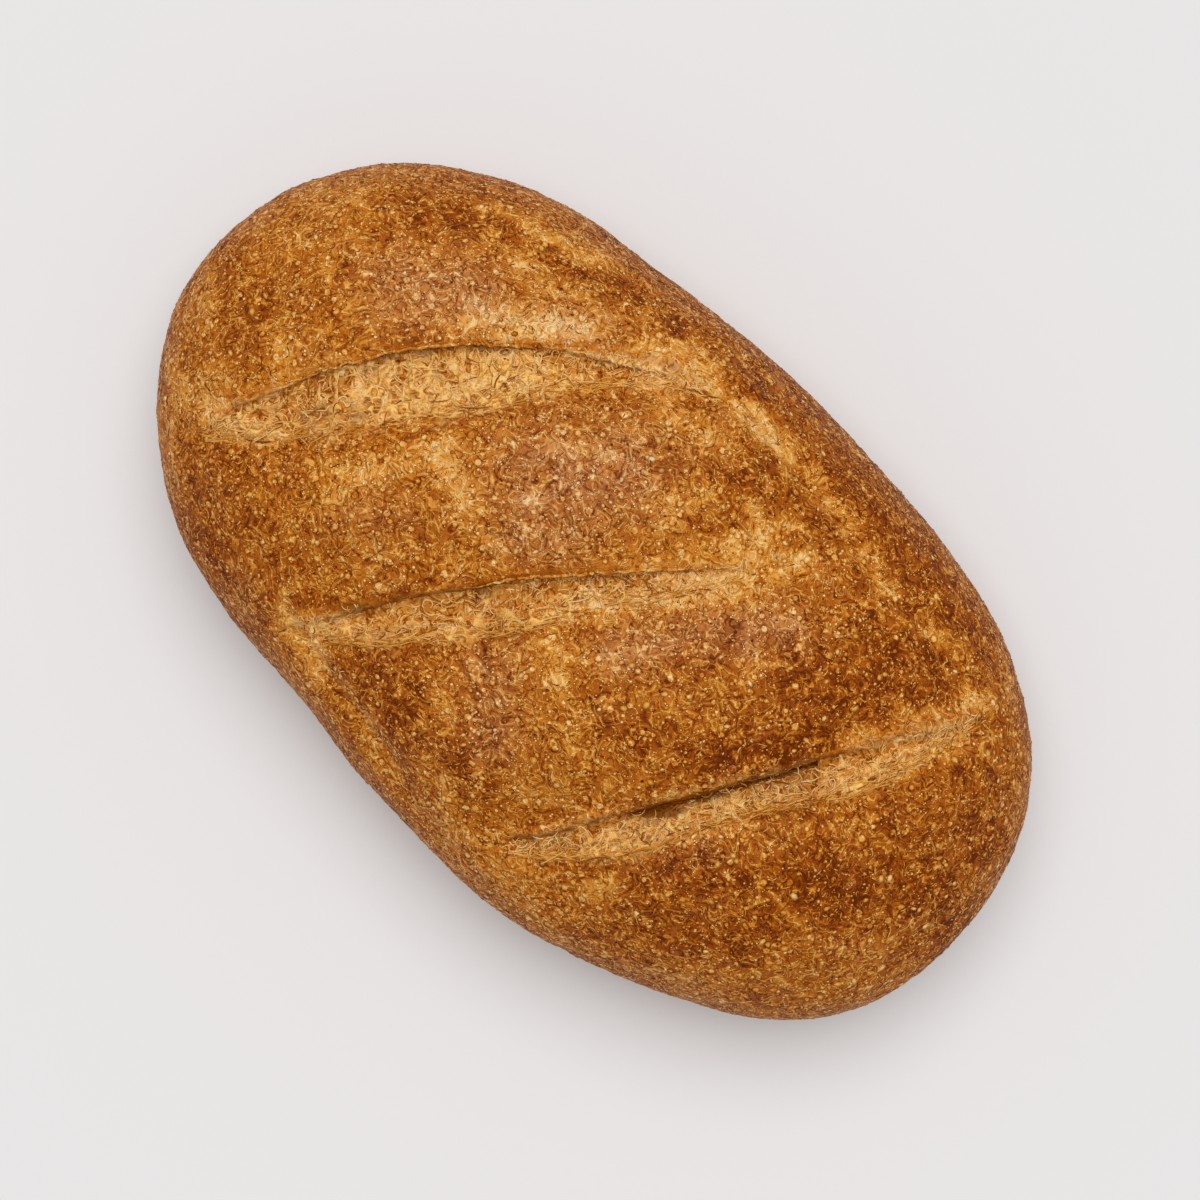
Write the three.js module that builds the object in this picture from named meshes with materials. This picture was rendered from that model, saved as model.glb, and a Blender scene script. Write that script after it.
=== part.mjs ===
// A hand-shaped wholemeal loaf with three slanting cuts that opened in the oven, as one closed solid.
// Millimetres, +Z up, +X along the loaf, origin on the flat underside below the middle of the loaf.

import * as THREE from "three";

// Overall sizes.
const LOAF_LENGTH = 290;
const LOAF_WIDTH = 169;
const LOAF_HEIGHT = 90;
const WAIST_HEIGHT = 34;

// The outline from above is a superellipse with slow swells. Each swell has its number of waves round
// the loaf, its size as a share of the radius, and the place of its crest in degrees of wave.
const OUTLINE_SQUARENESS = 2.25;
const OUTLINE_SWELLS = [
  { waves: 1, size: 0.012, crest: 16 },
  { waves: 2, size: 0.024, crest: 83 },
  { waves: 3, size: 0.0115, crest: 160 },
  { waves: 4, size: 0.013, crest: 136 },
  { waves: 5, size: 0.0047, crest: 17 },
  { waves: 6, size: 0.0076, crest: -137 },
  { waves: 7, size: 0.0036, crest: -88 },
  { waves: 8, size: 0.003, crest: -40 },
  { waves: 9, size: 0.0048, crest: -149 },
];

// The flat underside reaches this share of the outline, and a round heel joins it to the waist.
const BASE_REACH = 0.86;

// The crown falls off faster along the sides than at the two ends.
const CROWN_POWER_SIDE = 2.2;
const CROWN_POWER_END = 3.0;

// The cuts lie at a slant. A place on the crust is told by how far it is across the cuts, in
// millimetres from the middle, and by its share of the way along the cuts, from -1 to 1.
const SCORE_TURN = THREE.MathUtils.degToRad(-20.3);
const ACROSS_REACH = 140;

// Each cut has the line of its overhanging lip and the line of its foot, as the three factors of
// c0 + c1 * along + c2 * along^2, and its span along the loaf. Sizes are in millimetres.
// Under the lip, each step of the wall is an offset from the lip and a share of the depth.
// The floor then climbs to the foot, with one share of the depth for each FLOOR_STATIONS entry,
// which is a share of the way from the wall to the foot.
const FLOOR_STATIONS = [0.25, 0.5, 0.76, 1.0];
const CUTS = [
  {
    lip: [-77.5, 10.3, 29.5],
    foot: [-58.5, 4.4, -1.8],
    from: -0.88,
    deepest: 0.0,
    to: 0.7,
    depth: 5.5,
    wall: [[0.3, 0.4], [-1.4, 0.8], [0.6, 1.0], [2.2, 0.92]],
    floor: [0.8, 0.64, 0.4, 0.1],
    valley: 3.4,
  },
  {
    lip: [-4.9, 9.6, 10.5],
    foot: [6.4, -1.6, -15.2],
    from: -0.88,
    deepest: -0.4,
    to: 0.52,
    depth: 6.5,
    wall: [[0.9, 0.35], [1.1, 0.75], [2.0, 1.0], [3.2, 0.94]],
    floor: [0.74, 0.54, 0.3, 0.08],
    valley: 4.2,
  },
  {
    lip: [63.9, -7.5, -4.6],
    foot: [73.0, -5.1, -14.8],
    from: -0.76,
    deepest: 0.02,
    to: 0.92,
    depth: 10,
    wall: [[1.5, 0.28], [2.4, 0.45], [2.9, 1.0], [4.2, 0.55]],
    floor: [0.46, 0.38, 0.25, 0.08],
    valley: 3.8,
  },
];
const DEPTH_FADE_POWER = 0.75;
const WALL_OPENS_BY = 0.6;
const LIP_WANDER = 0.5;
const FOOT_WANDER = 1.1;
const CRUMB_CRAG = 0.7;
const LEAST_CUT_WIDTH = 8;
const WIDTH_SOFTNESS = 4;
const LIP_SHOULDER_OFFSETS = [-7, -2.4, 0];
const LIP_RAISE = 0.5;
const CLOSED_WALL_OFFSETS = [0.6, 1.2, 1.8, 2.5];
const BEYOND_FOOT = 5;
const VALLEY_REACH = 15;
const VALLEY_SPAN = [0.45, 0.92];
const BROAD_FORMS_END = 0.93;

// A torn edge is the sum of two waves along the cut: share of the whole, turns and shift by seed.
const TORN_WAVES = [
  { size: 0.55, turns: 23, shift: 2.4 },
  { size: 0.45, turns: 41, shift: -3.7 },
];

// Two long stretch marks beside the cuts: the place along as a share, bent with the place across.
const STRETCH_FADE = 0.12;
const STRETCH_MARKS = [
  { along: 0.79, bend: -0.5, middle: 0.12, from: -0.46, to: 0.4, width: 0.05, depth: 1.4 },
  { along: -0.86, bend: 0.25, middle: 0.0, from: -0.08, to: 0.52, width: 0.035, depth: 1.1 },
];

// Broad bulges of the crust between the cuts: across and along shares, reach and rise.
const BULGES = [
  { across: -0.24, along: 0.19, reach: 0.24, rise: 1.6 },
  { across: 0.2, along: 0.04, reach: 0.26, rise: 1.4 },
  { across: -0.68, along: 0.0, reach: 0.26, rise: 1.2 },
  { across: 0.7, along: -0.05, reach: 0.25, rise: 1.2 },
];

// Slow unevenness of the whole skin: wave lengths along X, Y and Z, and the size of each wave.
const UNEVEN_WAVES = [
  { length: [83, 52, 61], phase: 0.7, size: 0.45 },
  { length: [-46, 71, 40], phase: 2.1, size: 0.35 },
  { length: [35, 90, -35], phase: 4.0, size: 0.2 },
  { length: [58, -31, 22], phase: 5.3, size: 0.2 },
  { length: [24, 41, -70], phase: 1.4, size: 0.12 },
];
const UNEVEN_FROM_HEIGHT = 14;
const UNEVEN_AT_WAIST = 0.2;
const UNEVEN_FADES_FROM = 0.8;

// Mesh density: section lines on each stretch between cuts, and steps round one section.
const LINES_AT_ENDS = 14;
const LINES_BETWEEN_CUTS = 7;
const TOP_STEPS = 52;
const HEEL_STEPS = 6;
const BASE_STEPS = 7;

const halfLength = LOAF_LENGTH / 2;
const halfWidth = LOAF_WIDTH / 2;
const crownHeight = LOAF_HEIGHT - WAIST_HEIGHT;

const clamp = THREE.MathUtils.clamp;
const smoothstep = THREE.MathUtils.smoothstep;
const lerp = THREE.MathUtils.lerp;

function bell(distance, reach) {
  return Math.exp(-((distance / reach) ** 2));
}

function curveAt(factors, along) {
  return factors[0] + factors[1] * along + factors[2] * along ** 2;
}

// A number that is a where a is well above b, b where it is well below, and has no kink between.
function softMax(a, b, softness) {
  return (a + b + Math.hypot(a - b, softness)) / 2;
}

function outlineRadius(angle) {
  const superellipse =
    (Math.abs(Math.cos(angle) / halfLength) ** OUTLINE_SQUARENESS +
      Math.abs(Math.sin(angle) / halfWidth) ** OUTLINE_SQUARENESS) **
    (-1 / OUTLINE_SQUARENESS);
  let swell = 1;
  for (const { waves, size, crest } of OUTLINE_SWELLS) {
    swell += size * Math.cos(waves * angle - THREE.MathUtils.degToRad(crest));
  }
  return superellipse * swell;
}

function ellipseRadius(angle) {
  return 1 / Math.hypot(Math.cos(angle) / halfLength, Math.sin(angle) / halfWidth);
}

// The place from above of a point of the unit disc, where across and chord are its coordinates.
function planPoint(across, chord) {
  const p = across * Math.cos(SCORE_TURN) - chord * Math.sin(SCORE_TURN);
  const q = across * Math.sin(SCORE_TURN) + chord * Math.cos(SCORE_TURN);
  const share = Math.hypot(p, q);
  const angle = Math.atan2(halfWidth * q, halfLength * p);
  const grow = 1 + (outlineRadius(angle) / ellipseRadius(angle) - 1) * share ** 2;
  const endness = share > 0 ? (p / share) ** 2 : 0;
  return { x: halfLength * p * grow, y: halfWidth * q * grow, share, endness };
}

function crownZ({ share, endness }) {
  const power = lerp(CROWN_POWER_SIDE, CROWN_POWER_END, endness);
  return WAIST_HEIGHT + crownHeight * Math.sqrt(Math.max(0, 1 - share ** power));
}

function heelZ({ share }) {
  const out = clamp((share - BASE_REACH) / (1 - BASE_REACH), 0, 1);
  return WAIST_HEIGHT * (1 - Math.sqrt(1 - out ** 2));
}

// The way out of the skin at a point, taken from the ellipsoid that the loaf is close to.
function outward(x, y, z) {
  const rise = (z - WAIST_HEIGHT) / (z > WAIST_HEIGHT ? crownHeight : WAIST_HEIGHT) ** 2;
  return new THREE.Vector3(x / halfLength ** 2, y / halfWidth ** 2, rise).normalize();
}

function unevenness(x, y, z, share) {
  let sum = 0;
  for (const { length, phase, size } of UNEVEN_WAVES) {
    const turns = x / length[0] + y / length[1] + z / length[2];
    sum += size * Math.sin(2 * Math.PI * turns + phase);
  }
  const inside = 1 - smoothstep(share, UNEVEN_FADES_FROM, 1);
  return sum * smoothstep(z, 0, UNEVEN_FROM_HEIGHT) * lerp(UNEVEN_AT_WAIST, 1, inside);
}

// How open a cut is at a place along it, from 0 at its ends to 1 at its deepest place.
function openness(cut, along) {
  const span = along < cut.deepest ? cut.deepest - cut.from : cut.to - cut.deepest;
  const out = (along - cut.deepest) / span;
  return Math.max(0, 1 - out ** 2) ** DEPTH_FADE_POWER;
}

// Lift of the broad forms: the valleys that the lobes leave at the cuts, bulges and stretch marks.
function broadLift(across, along, share) {
  let lift = 0;
  for (const cut of CUTS) {
    const middle = (curveAt(cut.lip, along) + curveAt(cut.foot, along)) / 2;
    const reachIn = 1 - smoothstep(Math.abs(along), ...VALLEY_SPAN);
    lift -= cut.valley * reachIn * bell(across * ACROSS_REACH - middle, VALLEY_REACH);
  }
  const chord = along * Math.sqrt(1 - across ** 2);
  for (const bulge of BULGES) {
    lift += bulge.rise * bell(Math.hypot(across - bulge.across, chord - bulge.along), bulge.reach);
  }
  for (const mark of STRETCH_MARKS) {
    const line = mark.along + mark.bend * (across - mark.middle) ** 2;
    const fadeIn = smoothstep(across, mark.from, mark.from + STRETCH_FADE);
    const fadeOut = 1 - smoothstep(across, mark.to - STRETCH_FADE, mark.to);
    lift -= mark.depth * fadeIn * fadeOut * bell(chord - line, mark.width);
  }
  return lift * (1 - smoothstep(share, BROAD_FORMS_END, 1));
}

// A ragged wave between -1 and 1 along a cut, another one for each seed.
function ragged(along, seed) {
  let sum = 0;
  for (const { size, turns, shift } of TORN_WAVES) {
    sum += size * Math.sin(turns * along + shift * seed);
  }
  return sum;
}

// The lines of one cut at a place along it, from the crust above its lip to the crust below its foot.
// Each has its place across in millimetres and its drop below the crown.
function cutStations(cut, along) {
  const open = openness(cut, along);
  const lip = curveAt(cut.lip, along) + LIP_WANDER * open * ragged(along, cut.valley);
  const foot = curveAt(cut.foot, along) + FOOT_WANDER * open * ragged(along, cut.depth);
  const width = softMax(foot - lip, LEAST_CUT_WIDTH, WIDTH_SOFTNESS);
  const depth = cut.depth * open;
  const wallOpen = Math.min(1, open / WALL_OPENS_BY);
  const raise = [0, LIP_RAISE, LIP_RAISE / 2];
  const stations = LIP_SHOULDER_OFFSETS.map((offset, i) => {
    return { across: lip + offset, drop: -raise[i] * open };
  });
  cut.wall.forEach(([offset, share], i) => {
    stations.push({ across: lip + lerp(CLOSED_WALL_OFFSETS[i], offset, wallOpen), drop: share * depth });
  });
  const wallEnd = lerp(CLOSED_WALL_OFFSETS.at(-1), cut.wall.at(-1)[0], wallOpen);
  cut.floor.forEach((share, i) => {
    const out = lerp(wallEnd, width, FLOOR_STATIONS[i]);
    const crag = CRUMB_CRAG * open * ragged(along, i + cut.depth);
    stations.push({ across: lip + out, drop: share * depth + crag });
  });
  stations.push({ across: lip + width + BEYOND_FOOT, drop: 0 });
  return stations;
}

// All section lines at a place along the cuts, as places across in shares, evenly spread by angle
// on the lobes between the cuts. The two poles of the mesh are left out.
function sectionStations(along) {
  const stations = [];
  const spread = (from, to, count) => {
    const start = Math.acos(-from);
    const end = Math.acos(-to);
    for (let i = 1; i < count; i += 1) {
      stations.push({ across: -Math.cos(lerp(start, end, i / count)), drop: 0 });
    }
  };
  let last = -1;
  CUTS.forEach((cut, index) => {
    const lines = cutStations(cut, along).map(({ across, drop }) => {
      return { across: across / ACROSS_REACH, drop };
    });
    spread(last, lines[0].across, index === 0 ? LINES_AT_ENDS : LINES_BETWEEN_CUTS);
    stations.push(...lines);
    last = lines.at(-1).across;
  });
  spread(last, 1, LINES_AT_ENDS);
  return stations;
}

function crownPoint({ across, drop }, along) {
  const place = planPoint(across, along * Math.sqrt(1 - across ** 2));
  const z = crownZ(place);
  const out = outward(place.x, place.y, z);
  const uneven = unevenness(place.x, place.y, z, place.share);
  const lift = broadLift(across, along, place.share) + uneven - drop;
  return out.multiplyScalar(lift).add(new THREE.Vector3(place.x, place.y, z));
}

function heelPoint(across, along) {
  const place = planPoint(across, along * Math.sqrt(1 - across ** 2));
  const z = heelZ(place);
  const out = outward(place.x, place.y, z);
  const point = out.multiplyScalar(unevenness(place.x, place.y, z, place.share));
  point.add(new THREE.Vector3(place.x, place.y, z));
  point.z = z === 0 ? 0 : Math.max(point.z, 0);
  return point;
}

// The places along the cuts of one closed section: over the crown, then back under the base.
function sectionSteps() {
  const top = [];
  for (let i = 0; i <= TOP_STEPS; i += 1) {
    top.push(-Math.cos((Math.PI * i) / TOP_STEPS));
  }
  const under = [];
  for (let i = 1; i <= HEEL_STEPS; i += 1) {
    under.push(BASE_REACH + (1 - BASE_REACH) * Math.cos((Math.PI / 2) * (i / HEEL_STEPS)));
  }
  for (let i = 1; i < BASE_STEPS; i += 1) {
    under.push(lerp(BASE_REACH, -BASE_REACH, i / BASE_STEPS));
  }
  for (let i = HEEL_STEPS; i >= 1; i -= 1) {
    under.push(-BASE_REACH - (1 - BASE_REACH) * Math.cos((Math.PI / 2) * (i / HEEL_STEPS)));
  }
  return { top, under };
}

function loafGeometry() {
  const { top, under } = sectionSteps();
  const rimRight = sectionStations(1);
  const rimLeft = sectionStations(-1);
  const lineCount = rimRight.length;
  const sections = Array.from({ length: lineCount }, () => []);
  for (const along of top) {
    sectionStations(along).forEach((station, line) => {
      sections[line].push(crownPoint(station, along));
    });
  }
  for (const along of under) {
    for (let line = 0; line < lineCount; line += 1) {
      const across = lerp(rimLeft[line].across, rimRight[line].across, (along + 1) / 2);
      sections[line].push(heelPoint(across, along));
    }
  }
  const round = sections[0].length;
  const points = sections.flat();
  const triangles = [];
  for (let line = 0; line + 1 < lineCount; line += 1) {
    for (let step = 0; step < round; step += 1) {
      const next = (step + 1) % round;
      const a = line * round + step;
      const b = line * round + next;
      const c = (line + 1) * round + step;
      const d = (line + 1) * round + next;
      triangles.push(a, c, d, a, d, b);
    }
  }
  const firstPole = points.push(crownPoint({ across: -1, drop: 0 }, 0)) - 1;
  const lastPole = points.push(crownPoint({ across: 1, drop: 0 }, 0)) - 1;
  const lastLine = (lineCount - 1) * round;
  for (let step = 0; step < round; step += 1) {
    const next = (step + 1) % round;
    triangles.push(firstPole, step, next);
    triangles.push(lastPole, lastLine + next, lastLine + step);
  }
  const geometry = new THREE.BufferGeometry().setFromPoints(points);
  geometry.setIndex(triangles);
  return fitToSize(geometry);
}

// Centres the loaf over the origin and brings it to its overall sizes.
function fitToSize(geometry) {
  geometry.computeBoundingBox();
  const size = geometry.boundingBox.getSize(new THREE.Vector3());
  const middle = geometry.boundingBox.getCenter(new THREE.Vector3());
  geometry.translate(-middle.x, -middle.y, 0);
  geometry.scale(LOAF_LENGTH / size.x, LOAF_WIDTH / size.y, LOAF_HEIGHT / size.z);
  geometry.computeVertexNormals();
  return geometry;
}

const crust = new THREE.MeshStandardMaterial({ color: 0xa5662c, roughness: 0.85, metalness: 0 });
const loaf = new THREE.Mesh(loafGeometry(), crust);
loaf.name = "loaf";

const bread = new THREE.Group();
bread.add(loaf);

export default bread;
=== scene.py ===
"""A hand-shaped wholemeal loaf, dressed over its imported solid.

Laid out as an add-on and run as a script. Lengths are in metres. Places in the picture are taken from its
top left corner, across and down, in a frame of 1200 by 1200, which lies level with the loaf's waist.
"""

import math

import bpy
import numpy as np
from bpy.props import FloatProperty, FloatVectorProperty, IntProperty, PointerProperty
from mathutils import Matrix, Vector, noise
from mathutils.bvhtree import BVHTree


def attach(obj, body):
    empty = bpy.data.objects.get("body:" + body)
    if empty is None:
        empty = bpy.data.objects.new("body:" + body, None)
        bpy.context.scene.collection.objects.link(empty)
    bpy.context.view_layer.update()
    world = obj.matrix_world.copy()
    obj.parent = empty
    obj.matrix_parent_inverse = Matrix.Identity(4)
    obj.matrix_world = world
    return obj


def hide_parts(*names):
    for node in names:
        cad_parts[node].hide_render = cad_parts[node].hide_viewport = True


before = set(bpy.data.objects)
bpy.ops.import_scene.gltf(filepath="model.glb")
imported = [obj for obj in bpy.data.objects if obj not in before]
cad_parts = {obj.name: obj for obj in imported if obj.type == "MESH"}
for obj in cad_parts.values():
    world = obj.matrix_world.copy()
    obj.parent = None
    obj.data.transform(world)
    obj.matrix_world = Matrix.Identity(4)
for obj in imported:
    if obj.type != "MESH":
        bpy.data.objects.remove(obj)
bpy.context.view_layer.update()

bl_info = {
    "name": "Wholemeal loaf",
    "version": (1, 0, 0),
    "blender": (4, 5, 0),
    "location": "3D View > Sidebar > Loaf",
    "description": "Crust, torn crumb and bran of a scored wholemeal loaf",
    "category": "Object",
}

MM = 0.001
WAIST = 34 * MM
VIEW_TURN = math.radians(46.4)
VIEW_SPAN = 344.4 * MM
VIEW_CENTRE = (4.5 * MM, 0.3 * MM)
PICTURE = 1200
PIXEL = VIEW_SPAN / PICTURE
LENS = 85
SENSOR = 36
CAMERA_HEIGHT = WAIST + VIEW_SPAN * LENS / SENSOR

# The light: a pale room and a broad soft window above, leaning to the picture's right and top.
ROOM_STRENGTH = 0.36
KEY_STRENGTH = 2.22
KEY_SPREAD = math.radians(55)
KEY_BEARING = (0.02, 0.24)

# The crust: how near doubles are welded, the heights over which its flat underside passes into the side and over
# which the tones of the top begin, how far up the skin faces where the dull sides end, how dull a dull tone and a
# side are, how far the edges of a tone waver in the picture and over how many millimetres, and how far round a cut
# the torn skin and the paler margin reach.
WELD = 0.01 * MM
BASE_FADE = (0.5 * MM, 6 * MM)
TONE_FADE = (10 * MM, 22 * MM)
SIDE_FACING = (0.2, 0.72)
DULL_TONE = 0.62
DULL_SIDE = 0.65
TONE_WAVER = 9
WAVER_SIZE = 7
TORN_REACH = 2
MARGIN_REACH = 22

# The crumb: how far it runs in the picture past the foot and above a lip that isn't crisp, how ragged the gap is,
# how thick the slab is, the sizes of its webs in millimetres, and the seed of the warp that bends them.
PAST_FOOT = 26
ABOVE_SOFT_LIP = 10
GAP_RAGGED = 0.8
SLAB = 2.2 * MM
COARSE_WEB = 4.6
FINE_WEB = 2.3
WARP_SEED = 7

# Threads, slivers and lips: the shares of threads that hang and of threads and slivers that are dark, how many
# corners a stroke has around it and segments along it, and a lip's corners and its step along the picture.
HANGING_SHARE = 0.22
DARK_THREADS = 0.13
DARK_SLIVERS = 0.22
STROKE_SIDES = 3
THREAD_SEGMENTS = 8
SLIVER_SEGMENTS = 4
LIP_SIDES = 6
LIP_STEP = 1.5

# Socket numbers of a Mix node in colour mode.
MIX_FACTOR = 0
MIX_COLOURS = (6, 7)
MIX_RESULT = 2


def tint(red, green, blue):
    """Scene-linear colour of a paint chip given in 0 to 255."""
    steps = []
    for level in (red, green, blue):
        share = level / 255
        steps.append(share / 12.92 if share <= 0.04045 else ((share + 0.055) / 1.055) ** 2.4)
    return tuple(steps)


# The cuts in the picture, by places and spans of across. lip and foot are the knots of the two edges, gap how wide
# the gap under the lip is along it, where painted shade darkens the crust, crisp where the lip is a sharp edge,
# shade how strong and how wide the painted shade on the crumb under the lip is, ledge where the crust's edge bends
# down pale, fringe where short threads hang from the lip, and lift the crumb's rise in millimetres. A span of (0, 1)
# lies outside the loaf.
CUTS = (
    {
        "name": "first",
        "lip": (
            *((200, 418), (227, 410), (283, 382), (353, 360), (429, 347)),
            *((527, 343), (603, 349), (649, 358), (708, 384)),
        ),
        "foot": (
            *((200, 432), (227, 436), (286, 434), (391, 420), (482, 406)),
            *((527, 395), (593, 384), (659, 380), (708, 390)),
        ),
        "gap": ((200, 0), (300, 0.4), (400, 0.6), (560, 1.0), (640, 1.8), (660, 0.5), (708, 0)),
        "crisp": (276, 652),
        "shade": (0.25, 5),
        "ledge": (0, 1),
        "fringe": (420, 645),
        "lift": 0.9,
        "seed": 3,
    },
    {
        "name": "second",
        "lip": ((286, 618), (363, 603), (447, 594), (499, 578), (579, 571), (638, 567), (694, 566), (746, 566)),
        "foot": ((286, 628), (360, 639), (450, 634), (537, 622), (586, 605), (663, 593), (711, 583), (746, 572)),
        "gap": ((286, 0), (440, 0.5), (500, 1.8), (600, 1.2), (746, 0.3)),
        "crisp": (470, 735),
        "shade": (0.2, 6),
        "ledge": (0, 1),
        "fringe": (520, 600),
        "lift": 0.2,
        "seed": 11,
    },
    {
        "name": "third",
        "lip": ((499, 842), (558, 832), (631, 812), (722, 787), (792, 771), (837, 753), (914, 727), (987, 708)),
        "foot": ((499, 850), (586, 852), (642, 848), (694, 827), (771, 806), (861, 787), (948, 738), (987, 714)),
        "gap": (
            *((499, 0), (618, 0.5), (640, 4.5), (656, 8), (674, 7), (690, 3), (712, 2)),
            *((740, 3.2), (762, 1.8), (790, 2.6), (812, 3.2), (826, 0.5), (987, 0)),
        ),
        "crisp": (622, 822),
        "shade": (0.6, 14),
        "ledge": (640, 815),
        "fringe": (0, 1),
        "lift": 0.5,
        "seed": 23,
    },
)
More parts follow.
